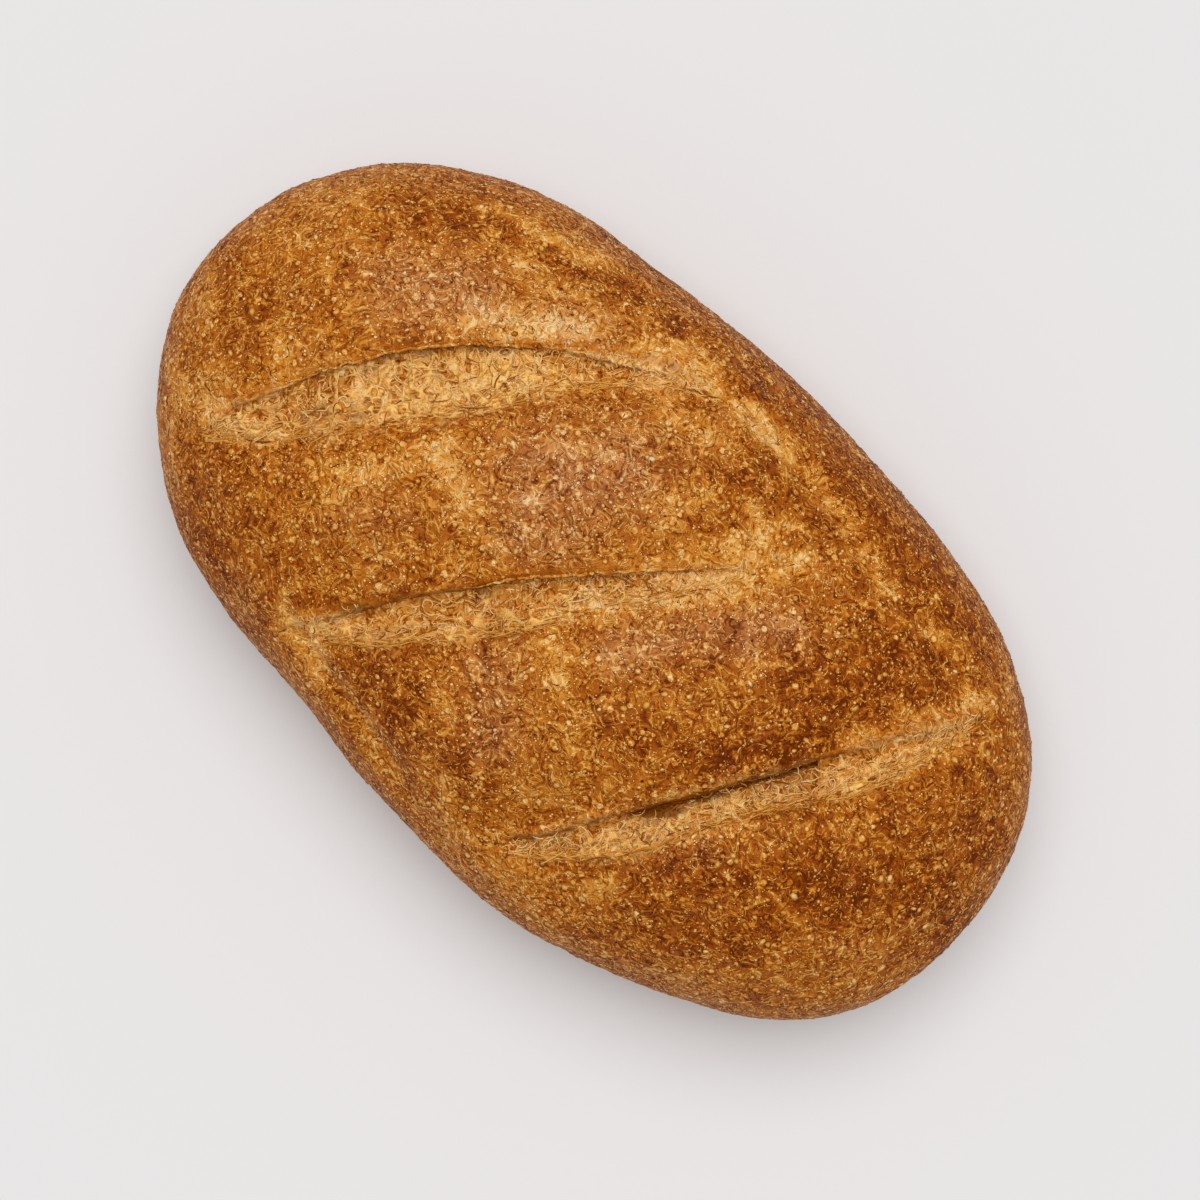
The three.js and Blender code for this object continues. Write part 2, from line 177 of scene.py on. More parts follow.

# Broad tones of the crust in the picture, each a strength, a half width and a line of places. pale is stretched
# or thin golden crust and in places painted light, dark the deepest bake and in places painted shade in the valleys
# beside the cuts, the third kind painted shade in a cavity or on the floor of a valley, and dull a duller pinkish
# colour that paints the sheen of the light from above on the domes.
TONES = {
    # Stretched or thin golden crust, and in places painted light.
    "pale": (
        (1.0, 11, (690, 372), (730, 400), (770, 438), (800, 468), (830, 502), (860, 545), (880, 580), (897, 618)),
        (0.5, 8, (925, 618), (945, 655), (962, 690), (985, 705)),
        (0.7, 14, (192, 396), (228, 414), (272, 432)),
        (0.6, 9, (488, 208), (530, 226), (565, 246), (600, 262)),
        (0.35, 12, (508, 262), (555, 285), (590, 300)),
        (0.6, 14, (498, 332), (505, 340)),
        (0.4, 12, (208, 268), (215, 330)),
        (0.4, 12, (212, 365), (232, 385)),
        (0.4, 14, (300, 238), (330, 262)),
        (0.9, 12, (400, 470), (440, 446), (450, 478), (466, 502)),
        (0.6, 9, (478, 532), (500, 556)),
        (0.6, 13, (335, 500), (352, 486), (372, 470)),
        (0.5, 12, (408, 524), (450, 520)),
        (0.4, 10, (330, 470), (370, 480)),
        (0.5, 13, (665, 408), (700, 425), (722, 452)),
        (0.8, 15, (455, 318), (480, 318), (545, 322), (590, 330)),
        (0.6, 10, (480, 334), (520, 332), (570, 333)),
        (0.5, 14, (276, 345), (280, 376)),
        (0.5, 12, (560, 446), (600, 452)),
        (0.4, 10, (384, 705)),
        (0.5, 12, (708, 488)),
        (0.5, 12, (672, 522)),
        (0.6, 14, (168, 414), (170, 486)),
        (0.6, 12, (690, 545), (740, 548), (775, 530)),
        (0.6, 16, (925, 625), (950, 640)),
        (0.7, 14, (640, 352), (690, 350), (735, 362)),
        (0.7, 14, (600, 606), (650, 600), (700, 594), (748, 588)),
        (0.4, 12, (655, 505), (690, 500)),
        (0.6, 10, (755, 505), (765, 530), (790, 522)),
        (0.8, 14, (745, 568), (790, 568), (800, 560)),
        (0.7, 12, (285, 615), (300, 630), (320, 665), (345, 702), (380, 745)),
        (0.3, 9, (560, 608), (600, 602), (640, 596)),
        (0.5, 12, (545, 645), (560, 690), (575, 720)),
        (0.5, 9, (430, 668), (440, 700), (452, 725)),
        (0.4, 12, (500, 650), (520, 665)),
        (0.4, 12, (480, 770), (520, 790), (560, 800)),
        (0.5, 12, (520, 860), (540, 872)),
        (0.4, 10, (600, 880), (608, 905)),
        (0.4, 11, (600, 850), (650, 840), (700, 832), (750, 815)),
        (0.6, 11, (820, 795), (850, 785), (900, 768), (950, 742)),
        (0.6, 12, (850, 742), (900, 725), (960, 705), (990, 698)),
        (0.5, 12, (820, 938), (850, 950), (885, 955)),
        (0.4, 8, (955, 640), (965, 665)),
        (0.4, 9, (720, 690), (715, 720)),
        (0.4, 10, (420, 760), (440, 775)),
        (0.25, 20, (348, 234)),
        (0.25, 20, (672, 306)),
        (0.7, 11, (560, 362), (610, 366), (660, 374)),
        (0.6, 9, (600, 582), (660, 576), (730, 572)),
        (0.3, 22, (456, 450)),
        (0.25, 26, (564, 640), (636, 655)),
        (0.25, 20, (672, 702)),
        (0.25, 20, (960, 738)),
        (0.25, 20, (924, 666)),
        (0.2, 20, (456, 846)),
        (0.2, 26, (636, 965), (708, 975)),
        (0.3, 14, (600, 380), (640, 384), (672, 408)),
        (0.25, 12, (492, 342)),
        (0.3, 14, (636, 632)),
        (0.25, 16, (528, 272)),
        (0.5, 9, (560, 360), (600, 364), (650, 372)),
        (0.5, 8, (640, 578), (700, 574), (735, 571)),
        (0.45, 12, (456, 412), (500, 405), (540, 392), (600, 382), (670, 382)),
        (0.5, 12, (564, 600), (620, 594), (680, 588)),
        (0.4, 8, (590, 363), (640, 370), (665, 376)),
        (0.2, 26, (320, 205), (370, 190)),
        (0.3, 16, (495, 855), (500, 885), (600, 885), (630, 882)),
        (0.25, 14, (384, 306)),
        (0.25, 14, (348, 234), (350, 232)),
    ),
    # The deepest bake, and in places painted shade in the valleys beside the cuts.
    "dark": (
        (0.3, 70, (640, 900), (780, 900), (950, 860)),
        (0.4, 26, (236, 272), (262, 306)),
        (0.4, 20, (225, 330), (245, 350)),
        (0.5, 18, (660, 664), (715, 668)),
        (0.6, 14, (384, 642)),
        (0.4, 18, (528, 815), (528, 870)),
        (0.5, 16, (885, 772), (890, 815)),
        (0.4, 18, (812, 632), (818, 668)),
        (0.4, 18, (470, 768), (492, 778)),
        (0.4, 22, (420, 662), (412, 700), (384, 740)),
        (0.8, 16, (346, 700), (350, 712)),
        (0.3, 20, (500, 632), (560, 634)),
        (0.6, 14, (770, 812), (800, 808)),
        (0.4, 14, (456, 636)),
        (0.5, 12, (960, 770), (998, 775)),
        (0.45, 24, (456, 742), (474, 772), (495, 776)),
        (0.4, 24, (600, 708), (650, 740), (740, 738)),
        (0.5, 26, (780, 704), (800, 730)),
        (0.5, 20, (760, 776), (800, 790), (812, 800)),
        (0.4, 20, (850, 952), (900, 950), (950, 948)),
        (0.45, 45, (800, 490), (880, 560), (940, 630), (975, 720)),
        (0.5, 40, (880, 620), (920, 680)),
        (0.5, 20, (670, 772), (720, 764), (780, 752), (830, 735)),
        (0.5, 26, (815, 850), (830, 910)),
        (0.4, 24, (925, 890), (940, 920)),
        (0.4, 16, (285, 484), (310, 488)),
        (0.5, 16, (690, 520), (720, 526)),
        (0.5, 16, (276, 412), (320, 420), (350, 414)),
        (0.4, 18, (500, 600), (490, 680)),
        (0.6, 22, (390, 200), (440, 212), (480, 228)),
        (0.4, 14, (330, 232), (345, 275)),
        (0.5, 9, (385, 345), (430, 338), (455, 335)),
        (0.7, 9, (545, 252), (600, 280), (650, 303), (705, 345), (760, 395)),
        (0.35, 22, (620, 235), (700, 315), (800, 405), (870, 480), (930, 560), (965, 630)),
        (0.5, 9, (505, 412), (560, 398), (620, 393), (680, 398), (710, 410)),
        (0.5, 12, (425, 430), (450, 424), (490, 416)),
        (0.5, 12, (650, 452), (700, 475), (745, 480)),
        (0.4, 10, (735, 440), (780, 462)),
        (0.5, 16, (385, 520), (420, 530)),
        (0.3, 16, (275, 560), (330, 570)),
        (0.5, 18, (215, 440), (240, 480), (235, 540)),
        (0.5, 18, (175, 430), (185, 500), (215, 560), (260, 620)),
        (0.7, 8, (292, 600), (340, 602), (400, 600), (440, 595), (500, 580), (550, 572)),
        (0.6, 22, (345, 655), (385, 690), (410, 720)),
        (0.8, 28, (820, 690), (850, 700)),
        (0.6, 18, (870, 630), (885, 690), (880, 720)),
        (0.6, 12, (690, 752), (740, 755), (790, 745)),
        (0.5, 16, (790, 650), (800, 690)),
        (0.8, 24, (810, 880), (860, 890)),
        (0.6, 22, (650, 865), (700, 870), (760, 880)),
        (0.5, 22, (640, 930), (700, 945), (760, 950)),
        (0.6, 20, (960, 800), (990, 850)),
        (0.5, 20, (900, 900), (950, 900)),
        (0.3, 20, (204, 270)),
        (0.25, 20, (384, 270)),
        (0.25, 20, (492, 198)),
        (0.4, 18, (312, 414)),
        (0.25, 18, (276, 450), (312, 450)),
        (0.3, 18, (708, 378)),
        (0.3, 18, (384, 630)),
        (0.25, 20, (420, 666)),
        (0.3, 20, (348, 702)),
        (0.3, 22, (816, 486), (852, 522)),
        (0.4, 20, (816, 774)),
        (0.3, 14, (528, 848), (564, 846)),
        (0.2, 22, (564, 918), (600, 918)),
        (0.35, 16, (312, 414)),
        (0.3, 16, (384, 632)),
        (0.5, 18, (765, 777), (816, 774)),
        (0.35, 16, (708, 810)),
        (0.3, 20, (420, 774), (456, 776)),
        (0.3, 18, (492, 738)),
        (0.3, 14, (492, 596)),
        (0.3, 14, (528, 850), (564, 850)),
        (0.3, 18, (816, 846)),
        (0.3, 16, (960, 668)),
        (0.3, 14, (425, 382), (458, 380)),
        (0.3, 14, (505, 592), (522, 560)),
        (0.3, 14, (384, 632), (420, 634)),
    ),
    # Painted shade in cavities, in thin cracks and on the floors of valleys.
    "deep_shade": (
        (0.85, 9, (345, 610), (375, 609), (400, 607), (425, 604), (455, 599)),
        (0.5, 5, (450, 596), (480, 588), (510, 583)),
        (0.9, 5, (650, 811), (662, 813), (676, 811)),
        (0.6, 3.5, (532, 846), (560, 847), (576, 843)),
        (1.0, 1.6, (508, 841), (530, 838), (556, 833), (580, 826), (598, 821)),
        (0.9, 1.5, (548, 842), (566, 837), (584, 829)),
        (0.8, 4, (645, 813), (660, 815), (674, 813)),
        (0.8, 3, (833, 756), (842, 753)),
        (1.0, 2.2, (637, 372), (640, 371)),
        (1.0, 2.2, (664, 370), (672, 366)),
        (0.9, 2.2, (374, 369), (377, 368)),
        (0.8, 2.0, (364, 372), (367, 371)),
        (0.5, 4, (414, 357), (430, 356)),
        (0.5, 3, (446, 357), (454, 356)),
        (0.5, 4, (472, 350), (484, 352)),
        (0.6, 5, (345, 412), (362, 416)),
        (0.4, 6, (300, 414), (330, 406)),
        (0.3, 9, (305, 412), (325, 416)),
        (0.3, 8, (792, 782), (830, 773)),
    ),
    # A duller pinkish colour on the domes that paints the sheen of the light from above.
    "dull": (
        (0.9, 36, (400, 285), (440, 290), (480, 300)),
        (0.6, 24, (560, 320), (600, 330)),
        (1.0, 48, (540, 470), (590, 480), (620, 470)),
        (0.6, 26, (520, 530), (560, 540)),
        (0.7, 30, (490, 670), (490, 740)),
        (0.8, 26, (620, 650), (700, 635), (790, 630)),
        (0.5, 22, (640, 855), (700, 850)),
        (0.4, 20, (340, 520), (400, 520)),
    ),
}


# Small forms of the crust in the picture: rise in millimetres (below 0 a furrow), half width and line of places.
RELIEF = (
    (-1.3, 6, (520, 842), (555, 845), (592, 843)),
    (0.7, 5, (525, 833), (560, 830), (592, 826)),
    (-1.2, 9, (285, 612), (302, 635), (325, 672), (350, 705), (395, 765)),
    (-0.8, 9, (205, 400), (240, 414), (285, 424)),
    (0.7, 8, (195, 418), (235, 430), (285, 436)),
    (-0.8, 9, (700, 372), (735, 396), (775, 436), (810, 478), (845, 522)),
    (0.7, 8, (716, 366), (750, 388), (790, 428), (824, 470)),
    (-0.7, 8, (505, 410), (560, 396), (625, 391), (685, 398)),
    (0.8, 14, (610, 840), (640, 838), (665, 834)),
    (-0.6, 8, (405, 475), (440, 452), (455, 490)),
    (0.5, 10, (480, 540), (500, 556)),
    (-0.6, 8, (925, 622), (948, 660), (965, 695)),
)


def spline(knots):
    """Smooth curve through knots: a function that gives down for an array of right."""
    xs, ys = (np.array(axis, float) for axis in zip(*knots))
    slopes = np.gradient(ys, xs)

    def curve(x):
        place = np.clip(np.searchsorted(xs, x) - 1, 0, len(xs) - 2)
        step = xs[place + 1] - xs[place]
        t = np.clip((x - xs[place]) / step, 0, 1)
        rise = 3 * t**2 - 2 * t**3
        start = (t**3 - 2 * t**2 + t) * step * slopes[place]
        end = (t**3 - t**2) * step * slopes[place + 1]
        return ys[place] * (1 - rise) + ys[place + 1] * rise + start + end

    return curve


def smooth_between(low, high, value):
    t = np.clip((value - low) / (high - low), 0, 1)
    return t * t * (3 - 2 * t)


RIGHT_AXIS = np.array((math.cos(VIEW_TURN), math.sin(VIEW_TURN)))
DOWN_AXIS = np.array((math.sin(VIEW_TURN), -math.cos(VIEW_TURN)))


def on_picture(points):
    """Places across and down in the picture of points given in metres."""
    nearer = (CAMERA_HEIGHT - WAIST) / (CAMERA_HEIGHT - points[:, 2])
    plan = (points[:, :2] - VIEW_CENTRE) * nearer[:, None] / PIXEL
    return plan @ RIGHT_AXIS + PICTURE / 2, plan @ DOWN_AXIS + PICTURE / 2


def sight_line(across, down):
    """Camera position and direction of the line of sight through a place in the picture."""
    level = PIXEL * ((across - PICTURE / 2) * RIGHT_AXIS + (down - PICTURE / 2) * DOWN_AXIS)
    eye = Vector((*VIEW_CENTRE, CAMERA_HEIGHT))
    return eye, (Vector((*(np.array(VIEW_CENTRE) + level), WAIST)) - eye).normalized()


# Mesh helpers.


def deselect():
    if bpy.context.object and bpy.context.object.mode != "OBJECT":
        bpy.ops.object.mode_set(mode="OBJECT")
    bpy.ops.object.select_all(action="DESELECT")


def take(piece):
    deselect()
    piece.select_set(True)
    bpy.context.view_layer.objects.active = piece


def positions(piece):
    found = np.empty(len(piece.data.vertices) * 3)
    piece.data.vertices.foreach_get("co", found)
    return found.reshape(-1, 3)


def normals(piece):
    found = np.empty(len(piece.data.vertices) * 3)
    piece.data.vertex_normals.foreach_get("vector", found)
    return found.reshape(-1, 3)


def move_to(piece, points):
    piece.data.vertices.foreach_set("co", np.ascontiguousarray(points).ravel())
    piece.data.update()


def mark(piece, name, values):
    layer = piece.data.attributes.new(name, "FLOAT", "POINT")
    layer.data.foreach_set("value", np.ascontiguousarray(values, dtype=float))


def new_piece(name, points, faces):
    mesh = bpy.data.meshes.new(name)
    mesh.from_pydata(points.tolist(), [], faces)
    piece = bpy.data.objects.new(name, mesh)
    bpy.context.scene.collection.objects.link(piece)
    return piece


def turn_outwards(piece, weld=False):
    """Turns a closed piece's faces outwards, after its doubles are merged where weld says so."""
    take(piece)
    bpy.ops.object.mode_set(mode="EDIT")
    bpy.ops.mesh.select_all(action="SELECT")
    if weld:
        bpy.ops.mesh.remove_doubles(threshold=WELD)
    bpy.ops.mesh.normals_make_consistent(inside=False)
    bpy.ops.object.mode_set(mode="OBJECT")


def soften(piece):
    take(piece)
    bpy.ops.object.shade_smooth()


def finish_piece(piece, material):
    piece.data.materials.clear()
    piece.data.materials.append(material)
    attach(piece, "root")


def noise_at(points, size, seed):
    """Smooth noise from -1 to 1 at points in metres, with features of about size millimetres."""
    offset = Vector((seed * 7.31, seed * -3.17, seed * 5.77))
    scale = 1 / (size * MM)
    return np.array([noise.noise(Vector(p) * scale + offset) for p in points])


# Tones.


def line_distance(knots, across, down):
    """Distance from places in the picture to a line through knots."""
    best = np.full(len(across), np.inf)
    for (x0, y0), (x1, y1) in zip(knots, knots[1:] or knots):
        run, fall = x1 - x0, y1 - y0
        t = np.clip(((across - x0) * run + (down - y0) * fall) / max(run**2 + fall**2, 1), 0, 1)
        best = np.minimum(best, np.hypot(across - x0 - t * run, down - y0 - t * fall))
    return best


def tone(kind, across, down):
    total = np.zeros(len(across))
    for strength, width, *knots in TONES[kind]:
        total += strength * np.exp(-((line_distance(knots, across, down) / width) ** 2))
    return np.clip(total, 0, 1)


def lip_span(cut):
    """Places across where a cut's lip starts and ends."""
    return cut["lip"][0][0], cut["lip"][-1][0]


def gap_width(cut, across):
    """How wide the dark gap under a cut's lip is."""
    return np.interp(across, *zip(*cut["gap"]))


def span_cover(across, span, before, after):
    """1 inside a span, fading from after inside its ends to 0 at before outside them."""
    start, end = span
    return smooth_between(start - before, start + after, across) * smooth_between(-end - before, -end + after, -across)


def crisp_cover(cut, across):
    """1 where the cut's lip is a crisp edge, 0 where the crust runs into the crumb without one."""
    return span_cover(across, cut["crisp"], 14, 10)


def cut_cover(cut, across, down, margin):
    """1 well inside a cut, fading to 0 at margin outside."""
    lip, foot = spline(cut["lip"])(across), spline(cut["foot"])(across)
    inside = smooth_between(-margin, 1, down - lip) * smooth_between(-margin, 1, foot - down)
    return inside * span_cover(across, lip_span(cut), margin, 12)


def gap_cover(cut, across, down):
    """1 in the gap under a lip, where the crust is darkened with painted shade, 0 elsewhere."""
    below = down - spline(cut["lip"])(across)
    width = gap_width(cut, across)
    inside = smooth_between(-2, 1, below) * (1 - smooth_between(width + 1, width + 4, below))
    inside *= span_cover(across, lip_span(cut), 0, 20)
    return inside * smooth_between(0, 3, width) * crisp_cover(cut, across)


def ledge_cover(cut, across, down):
    """1 on the pale bent edge of crust just above a lip, 0 elsewhere."""
    above = spline(cut["lip"])(across) - down
    inside = smooth_between(-1, 1, above) * (1 - smooth_between(6, 11, above))
    return inside * span_cover(across, cut["ledge"], 10, 20)


def lip_cover(cut, across, down):
    """1 on the line of a lip, 0 elsewhere."""
    away = np.abs(spline(cut["lip"])(across) + 1 - down)
    return (1 - smooth_between(2, 8, away)) * span_cover(across, lip_span(cut), 0, 20)


def on_cuts(cover, across, down, *margin):
    """The largest value of a cover over the cuts."""
    return np.maximum.reduce([cover(cut, across, down, *margin) for cut in CUTS])


def rim_at(across, down):
    """1 on the lip's line of painted warm light, 0 elsewhere and where the lip is a ledge."""
    return on_cuts(lip_cover, across, down) * (1 - on_cuts(ledge_cover, across, down))


def mark_tones(piece):
    points = positions(piece)
    facing = normals(piece)[:, 2]
    across, down = on_picture(points)
    above = smooth_between(*TONE_FADE, points[:, 2])
    # Painted shade in cavities and on valley floors.
    mark(piece, "deep_shade", tone("deep_shade", across, down) * above)
    for kind, seed in (("pale", 31), ("dark", 37), ("dull", 41)):
        waver = [noise_at(points, WAVER_SIZE, seed + turn) * TONE_WAVER for turn in (0, 1)]
        flaws = 0.9 + 0.8 * noise_at(points, 4, seed + 2)
        mark(piece, kind, np.clip(tone(kind, across + waver[0], down + waver[1]) * flaws, 0, 1) * above)
    margin = on_cuts(cut_cover, across, down, MARGIN_REACH) * above
    mark(piece, "torn", on_cuts(cut_cover, across, down, TORN_REACH) * above)
    mark(piece, "margin", margin)
    # Painted shade in the gaps under the lips.
    mark(piece, "gap", on_cuts(gap_cover, across, down) * above)
    mark(piece, "ledge", on_cuts(ledge_cover, across, down + 2 * noise_at(points, 3, 47)) * above)
    # The lip's line of painted warm light.
    mark(piece, "rim", rim_at(across, down + 3 * noise_at(points, 3, 53)) * above)
    mark(piece, "side", (1 - smooth_between(*SIDE_FACING, facing)) * (1 - margin))
    mark(piece, "under", 1 - smooth_between(*BASE_FADE, points[:, 2]))


# Materials.


def node(tree, kind, at=(0, 0), **settings):
    made = tree.nodes.new(kind)
    made.location = at
    for name, value in settings.items():
        setattr(made, name, value)
    return made


def feed(tree, target, socket, source):
    """Sets a socket to a value, or links it to an output socket."""
    if isinstance(source, bpy.types.NodeSocket):
        tree.links.new(source, target.inputs[socket])
    else:
        target.inputs[socket].default_value = source


def sums(tree, operation, *values, clamp=False):
    made = node(tree, "ShaderNodeMath", operation=operation, use_clamp=clamp)
    for index, value in enumerate(values):
        feed(tree, made, index, value)
    return made.outputs[0]


def mixed(tree, share, first, second, blend="MIX"):
    made = node(tree, "ShaderNodeMix", data_type="RGBA", blend_type=blend)
    feed(tree, made, MIX_FACTOR, share)
    for socket, value in zip(MIX_COLOURS, (first, second)):
        if not isinstance(value, bpy.types.NodeSocket):
            value = (*value, 1.0)
        feed(tree, made, socket, value)
    return made.outputs[MIX_RESULT]


def layered(tree, colour, *layers):
    """Colours laid over a colour: each a mask, how strong it is and its colour."""
    for mask, strength, chip in layers:
        colour = mixed(tree, sums(tree, "MULTIPLY", mask, strength), colour, chip)
    return colour


def ranged(tree, value, low, high, to_low=0.0, to_high=1.0):
    made = node(tree, "ShaderNodeMapRange", interpolation_type="SMOOTHSTEP")
    for index, item in enumerate((value, low, high, to_low, to_high)):
        feed(tree, made, index, item)
    return made.outputs[0]


def group(name, inputs, outputs):
    tree = bpy.data.node_groups.new(name, "ShaderNodeTree")
    for label, kind, default in inputs:
        socket = tree.interface.new_socket(label, in_out="INPUT", socket_type=kind)
        if default is not None:
            socket.default_value = default
    for label, kind in outputs:
        tree.interface.new_socket(label, in_out="OUTPUT", socket_type=kind)
    return tree, node(tree, "NodeGroupInput", (-900, 0)), node(tree, "NodeGroupOutput", (900, 0))


def use_group(tree, name, **values):
    """Adds a shared node group, which is made when it is first used."""
    made = node(tree, "ShaderNodeGroup", node_tree=bpy.data.node_groups.get(name) or GROUPS[name]())
    for label, value in values.items():
        feed(tree, made, label, value)
    return made


def noise_node(tree, vector, scale, detail=2.0, roughness=0.55, distortion=0.0):
    made = node(tree, "ShaderNodeTexNoise")
    for socket, value in (("Vector", vector), ("Scale", scale), ("Detail", detail)):
        feed(tree, made, socket, value)
    feed(tree, made, "Roughness", roughness)
    feed(tree, made, "Distortion", distortion)
    return made


def make_weave_group():
    """Short curved strokes side by side, as of slivers and wrinkles: waves along the level lines of a noise."""
    inputs = (("Vector", "NodeSocketVector", None), ("Scale", "NodeSocketFloat", 300.0))
    inputs += (("Lines", "NodeSocketFloat", 8.0), ("Cover", "NodeSocketFloat", 0.5))
    outputs = (("Light", "NodeSocketFloat"), ("Dark", "NodeSocketFloat"))
    tree, given, made = group("weave", inputs, outputs)
    field = noise_node(tree, given.outputs["Vector"], given.outputs["Scale"], 0.5, 0.4, 0.6).outputs["Fac"]
    phase = sums(tree, "MULTIPLY", field, sums(tree, "MULTIPLY", given.outputs["Lines"], 2 * math.pi))
    wave = sums(tree, "SINE", phase)
    finer = sums(tree, "MULTIPLY", given.outputs["Scale"], 1.5)
    patchy = noise_node(tree, given.outputs["Vector"], finer, 0.0).outputs["Color"]
    parts = node(tree, "ShaderNodeSeparateColor")
    feed(tree, parts, 0, patchy)
    edge = sums(tree, "SUBTRACT", 1.0, given.outputs["Cover"])
    low, high = sums(tree, "SUBTRACT", edge, 0.05), sums(tree, "ADD", edge, 0.05)
    light = sums(tree, "MULTIPLY", ranged(tree, wave, 0.55, 0.95), ranged(tree, parts.outputs[0], low, high))
    dark = sums(tree, "MULTIPLY", ranged(tree, wave, -0.7, -1.0), ranged(tree, parts.outputs[1], low, high))
    feed(tree, made, "Light", light)
    feed(tree, made, "Dark", dark)
    return tree


def make_fleck_group():
    """Scattered round specks of uneven size: cells of a Voronoi pattern, of which only some are kept."""
    inputs = (("Vector", "NodeSocketVector", None), ("Scale", "NodeSocketFloat", 500.0))
    inputs += (("Size", "NodeSocketFloat", 0.3), ("Chance", "NodeSocketFloat", 0.4))
    tree, given, made = group("flecks", inputs, (("Mask", "NodeSocketFloat"), ("Rim", "NodeSocketFloat")))
    cells = node(tree, "ShaderNodeTexVoronoi", feature="F1")
    feed(tree, cells, "Vector", given.outputs["Vector"])
    feed(tree, cells, "Scale", given.outputs["Scale"])
    parts = node(tree, "ShaderNodeSeparateColor")
    feed(tree, parts, 0, cells.outputs["Color"])
    size = sums(tree, "MULTIPLY", given.outputs["Size"], sums(tree, "MULTIPLY_ADD", parts.outputs[1], 0.8, 0.6))
    kept = sums(tree, "LESS_THAN", parts.outputs[0], given.outputs["Chance"])
    dot = ranged(tree, cells.outputs["Distance"], size, sums(tree, "MULTIPLY", size, 0.6))
    halo = ranged(tree, cells.outputs["Distance"], sums(tree, "MULTIPLY", size, 1.6), sums(tree, "MULTIPLY", size, 1.1))
    feed(tree, made, "Mask", sums(tree, "MULTIPLY", dot, kept))
    feed(tree, made, "Rim", sums(tree, "MULTIPLY", sums(tree, "SUBTRACT", halo, dot), kept))
    return tree


def make_mottle_group():
    """Uneven bake from broad to fine: six sizes of noise, summed about 0."""
    inputs = [("Vector", "NodeSocketVector", None)]
    layers = (("Broad", 48.0, 0.1), ("Blotch", 105.0, 0.22), ("Spot", 200.0, 0.22), ("Fleck", 420.0, 0.16))
    layers += (("Grain", 900.0, 0.2), ("Grit", 2400.0, 0.26))
    inputs += [(label, "NodeSocketFloat", strength) for label, _, strength in layers]
    tree, given, made = group("mottle", inputs, (("Light", "NodeSocketFloat"),))
    total = None
    for label, scale, _ in layers:
        fac = noise_node(tree, given.outputs["Vector"], scale, 1.0, 0.6, 0.5).outputs["Fac"]
        part = sums(tree, "MULTIPLY", sums(tree, "SUBTRACT", fac, 0.5), given.outputs[label])
        total = part if total is None else sums(tree, "ADD", total, part)
    feed(tree, made, "Light", total)
    return tree


def ramp_of(tree, light, stops):
    """Colour ramp read at light, from places and colours in order."""
    ramp = node(tree, "ShaderNodeValToRGB")
    feed(tree, ramp, "Fac", light)
    made = ramp.color_ramp.elements
    for stop, (position, colour) in zip((made[0], made[1]), (stops[0], stops[-1])):
        stop.position, stop.color = position, (*colour, 1)
    for position, colour in stops[1:-1]:
        made.new(position).color = (*colour, 1)
    return ramp.outputs["Color"]


def make_bake_group():
    """Colour of the crust by how light it is, from the deepest bake to the palest fleck, golden or dull."""
    chips = bpy.context.scene.loaf_colours
    inputs = (("Light", "NodeSocketFloat", 0.45), ("Dull", "NodeSocketFloat", 0.0))
    tree, given, made = group("bake", inputs, (("Color", "NodeSocketColor"),))
    golden = ((0.16, chips.char), (0.3, chips.roast), (0.44, chips.brown), (0.56, chips.amber), (0.7, chips.gold))
    golden = ramp_of(tree, given.outputs["Light"], (*golden, (0.94, chips.cream)))
    # The dull colours, for the duller sides and underside and for the painted sheen on the domes.
    dull = ((0.22, chips.dusk), (0.44, chips.blush), (0.61, chips.rose), (0.86, chips.shell))
    dull = ramp_of(tree, given.outputs["Light"], dull)
    feed(tree, made, "Color", mixed(tree, given.outputs["Dull"], golden, dull))
    return tree


GROUPS = {
    "weave": make_weave_group,
    "flecks": make_fleck_group,
    "mottle": make_mottle_group,
    "bake": make_bake_group,
}


def attribute(tree, name):
    return node(tree, "ShaderNodeAttribute", attribute_name=name).outputs["Fac"]


def blank_material(name, roughness):
    material = bpy.data.materials.new(name)
    material.use_nodes = True
    tree = material.node_tree
    shader = tree.nodes["Principled BSDF"]
    shader.inputs["Roughness"].default_value = roughness
    shader.inputs["Specular IOR Level"].default_value = 0.06
    return material, tree, shader


def bumped(tree, shader, height, strength, distance):
    bump = node(tree, "ShaderNodeBump")
    feed(tree, bump, "Height", height)
    feed(tree, bump, "Strength", strength)
    feed(tree, bump, "Distance", distance)
    feed(tree, shader, "Normal", bump.outputs["Normal"])


def plus(tree, total, *parts):
    """A running sum: each part is a value and its weight."""
    for value, weight in parts:
        total = sums(tree, "MULTIPLY_ADD", value, weight, total)
    return total


